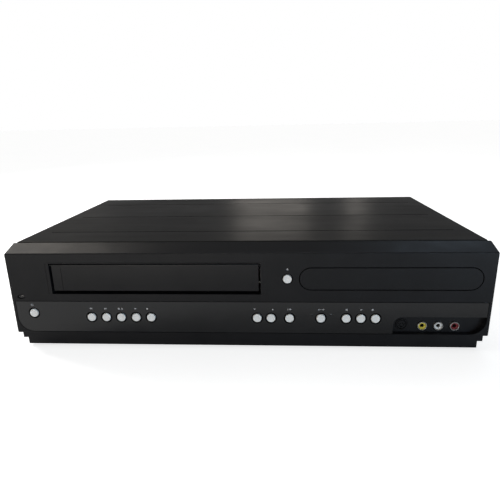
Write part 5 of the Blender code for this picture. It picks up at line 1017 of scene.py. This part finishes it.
def make_world():
    """White to the camera; plain light mostly from behind; reflections dim overhead."""
    world = bpy.data.worlds.new("studio")
    bpy.context.scene.world = world
    nodes = Nodes(world, "Background", "Generated")
    path = nodes.add("ShaderNodeLightPath")
    direction = nodes.add("ShaderNodeSeparateXYZ")
    nodes.link(nodes.coordinates, direction.inputs["Vector"])
    ramp = nodes.add("ShaderNodeValToRGB")
    stops = ramp.color_ramp.elements
    for i, (height, level) in enumerate(SKY_LEVELS):
        stop = stops[i] if i < len(stops) else stops.new(height)
        stop.position = height
        stop.color = (level, level, level, 1)
    nodes.link(direction.outputs["Z"], ramp.inputs["Fac"])
    behind = nodes.add("ShaderNodeVectorMath", operation="DOT_PRODUCT")
    nodes.link(nodes.coordinates, behind.inputs[0])
    behind.inputs[1].default_value = SKY_SOURCE
    plain = nodes.spread(behind.outputs["Value"], SKY_FRONT, SKY_BACK, SKY_TURN_START, SKY_TURN_END)
    glossy = path.outputs["Is Glossy Ray"]
    seen = nodes.math("MAXIMUM", path.outputs["Is Camera Ray"], path.outputs["Is Transmission Ray"])
    hidden = nodes.math("SUBTRACT", 1.0, nodes.math("MAXIMUM", seen, glossy))
    total = nodes.math("ADD", seen, nodes.math("MULTIPLY", glossy, ramp.outputs["Color"]))
    total = nodes.math("ADD", total, nodes.math("MULTIPLY", hidden, plain))
    nodes.link(total, nodes.shader.inputs["Strength"])
    nodes.shader.inputs["Color"].default_value = (1, 1, 1, 1)


def make_lamp(name, place, target, size, power, colour=(1, 1, 1)):
    data = bpy.data.lights.new(name, "AREA")
    data.shape = "RECTANGLE"
    data.size, data.size_y = size
    data.energy = power
    data.color = colour
    lamp = bpy.data.objects.new(name, data)
    bpy.context.scene.collection.objects.link(lamp)
    lamp.location = place
    lamp.rotation_euler = (Vector(target) - Vector(place)).to_track_quat("-Z", "Y").to_euler()
    lamp.visible_camera = False


def make_lamps():
    """Key from the left, warm front, cool fill from the right, and weak ones for the cover's sheen."""
    middle = (0, 0, CASE_HIGH.z)
    make_lamp("key", (-1.3, 0.45, 0.7), middle, (0.3, 0.3), KEY_POWER)
    make_lamp("front", (-0.5, -1.6, 0.2), middle, (0.8, 0.25), FRONT_POWER, WARM)
    make_lamp("fill", (1.0, -1.4, 0.22), middle, (0.6, 0.25), FILL_POWER, COOL)
    make_lamp("overhead", (0, -0.15, 1.4), middle, (0.6, 0.2), OVERHEAD_POWER)
    make_lamp("back_left", (-0.86, 0.53, 1.0), (-0.2, -0.1, 0.1), (0.5, 0.5), BACK_LEFT_POWER, WARM)
    make_lamp("back_right", (0.75, 0.75, 1.2), (0.2, -0.1, 0.1), (0.5, 0.5), BACK_RIGHT_POWER, COOL)
    make_lamp("skyline", (0.0, 1.7, 0.42), middle, (0.36, 0.3), SKYLINE_POWER, WARM)
    make_lamp("skyline_right", (0.43, 1.7, 0.42), middle, (0.1, 0.3), SKYLINE_POWER / 5, WARM)
    make_lamp("skyline_left", (-0.95, 1.6, 0.42), middle, (0.3, 0.3), SKYLINE_POWER / 10, WARM)


def make_camera():
    """Camera at the photograph's angle; the last turn stands it up from looking down."""
    data = bpy.data.cameras.new("camera")
    data.sensor_width = SENSOR_WIDTH
    data.lens = LENS
    data.clip_start = 0.01
    camera = bpy.data.objects.new("camera", data)
    bpy.context.scene.collection.objects.link(camera)
    turn = (
        Matrix.Rotation(math.radians(CAMERA_YAW), 4, "Z")
        @ Matrix.Rotation(math.radians(CAMERA_PITCH), 4, "X")
        @ Matrix.Rotation(math.radians(CAMERA_ROLL), 4, "Y")
        @ Matrix.Rotation(math.radians(90), 4, "X")
    )
    camera.matrix_world = Matrix.Translation(CAMERA_PLACE) @ turn
    bpy.context.scene.camera = camera


dress_nodes()
make_buttons()
make_strip()
make_drawer_front()
make_lamp_window()
make_phono("video_socket", "socket_yellow")
make_phono("audio_left_socket", "socket_white")
make_phono("audio_right_socket", "socket_red")
make_svideo()
make_door()
make_bead()
make_marks()
make_indicators()
make_feet()
make_cover_screws()
make_rear_jacks()
make_aerial_threads()
make_rear_screws()
make_stage()
make_world()
make_lamps()
make_camera()
bpy.context.scene.view_settings.view_transform = "Standard"
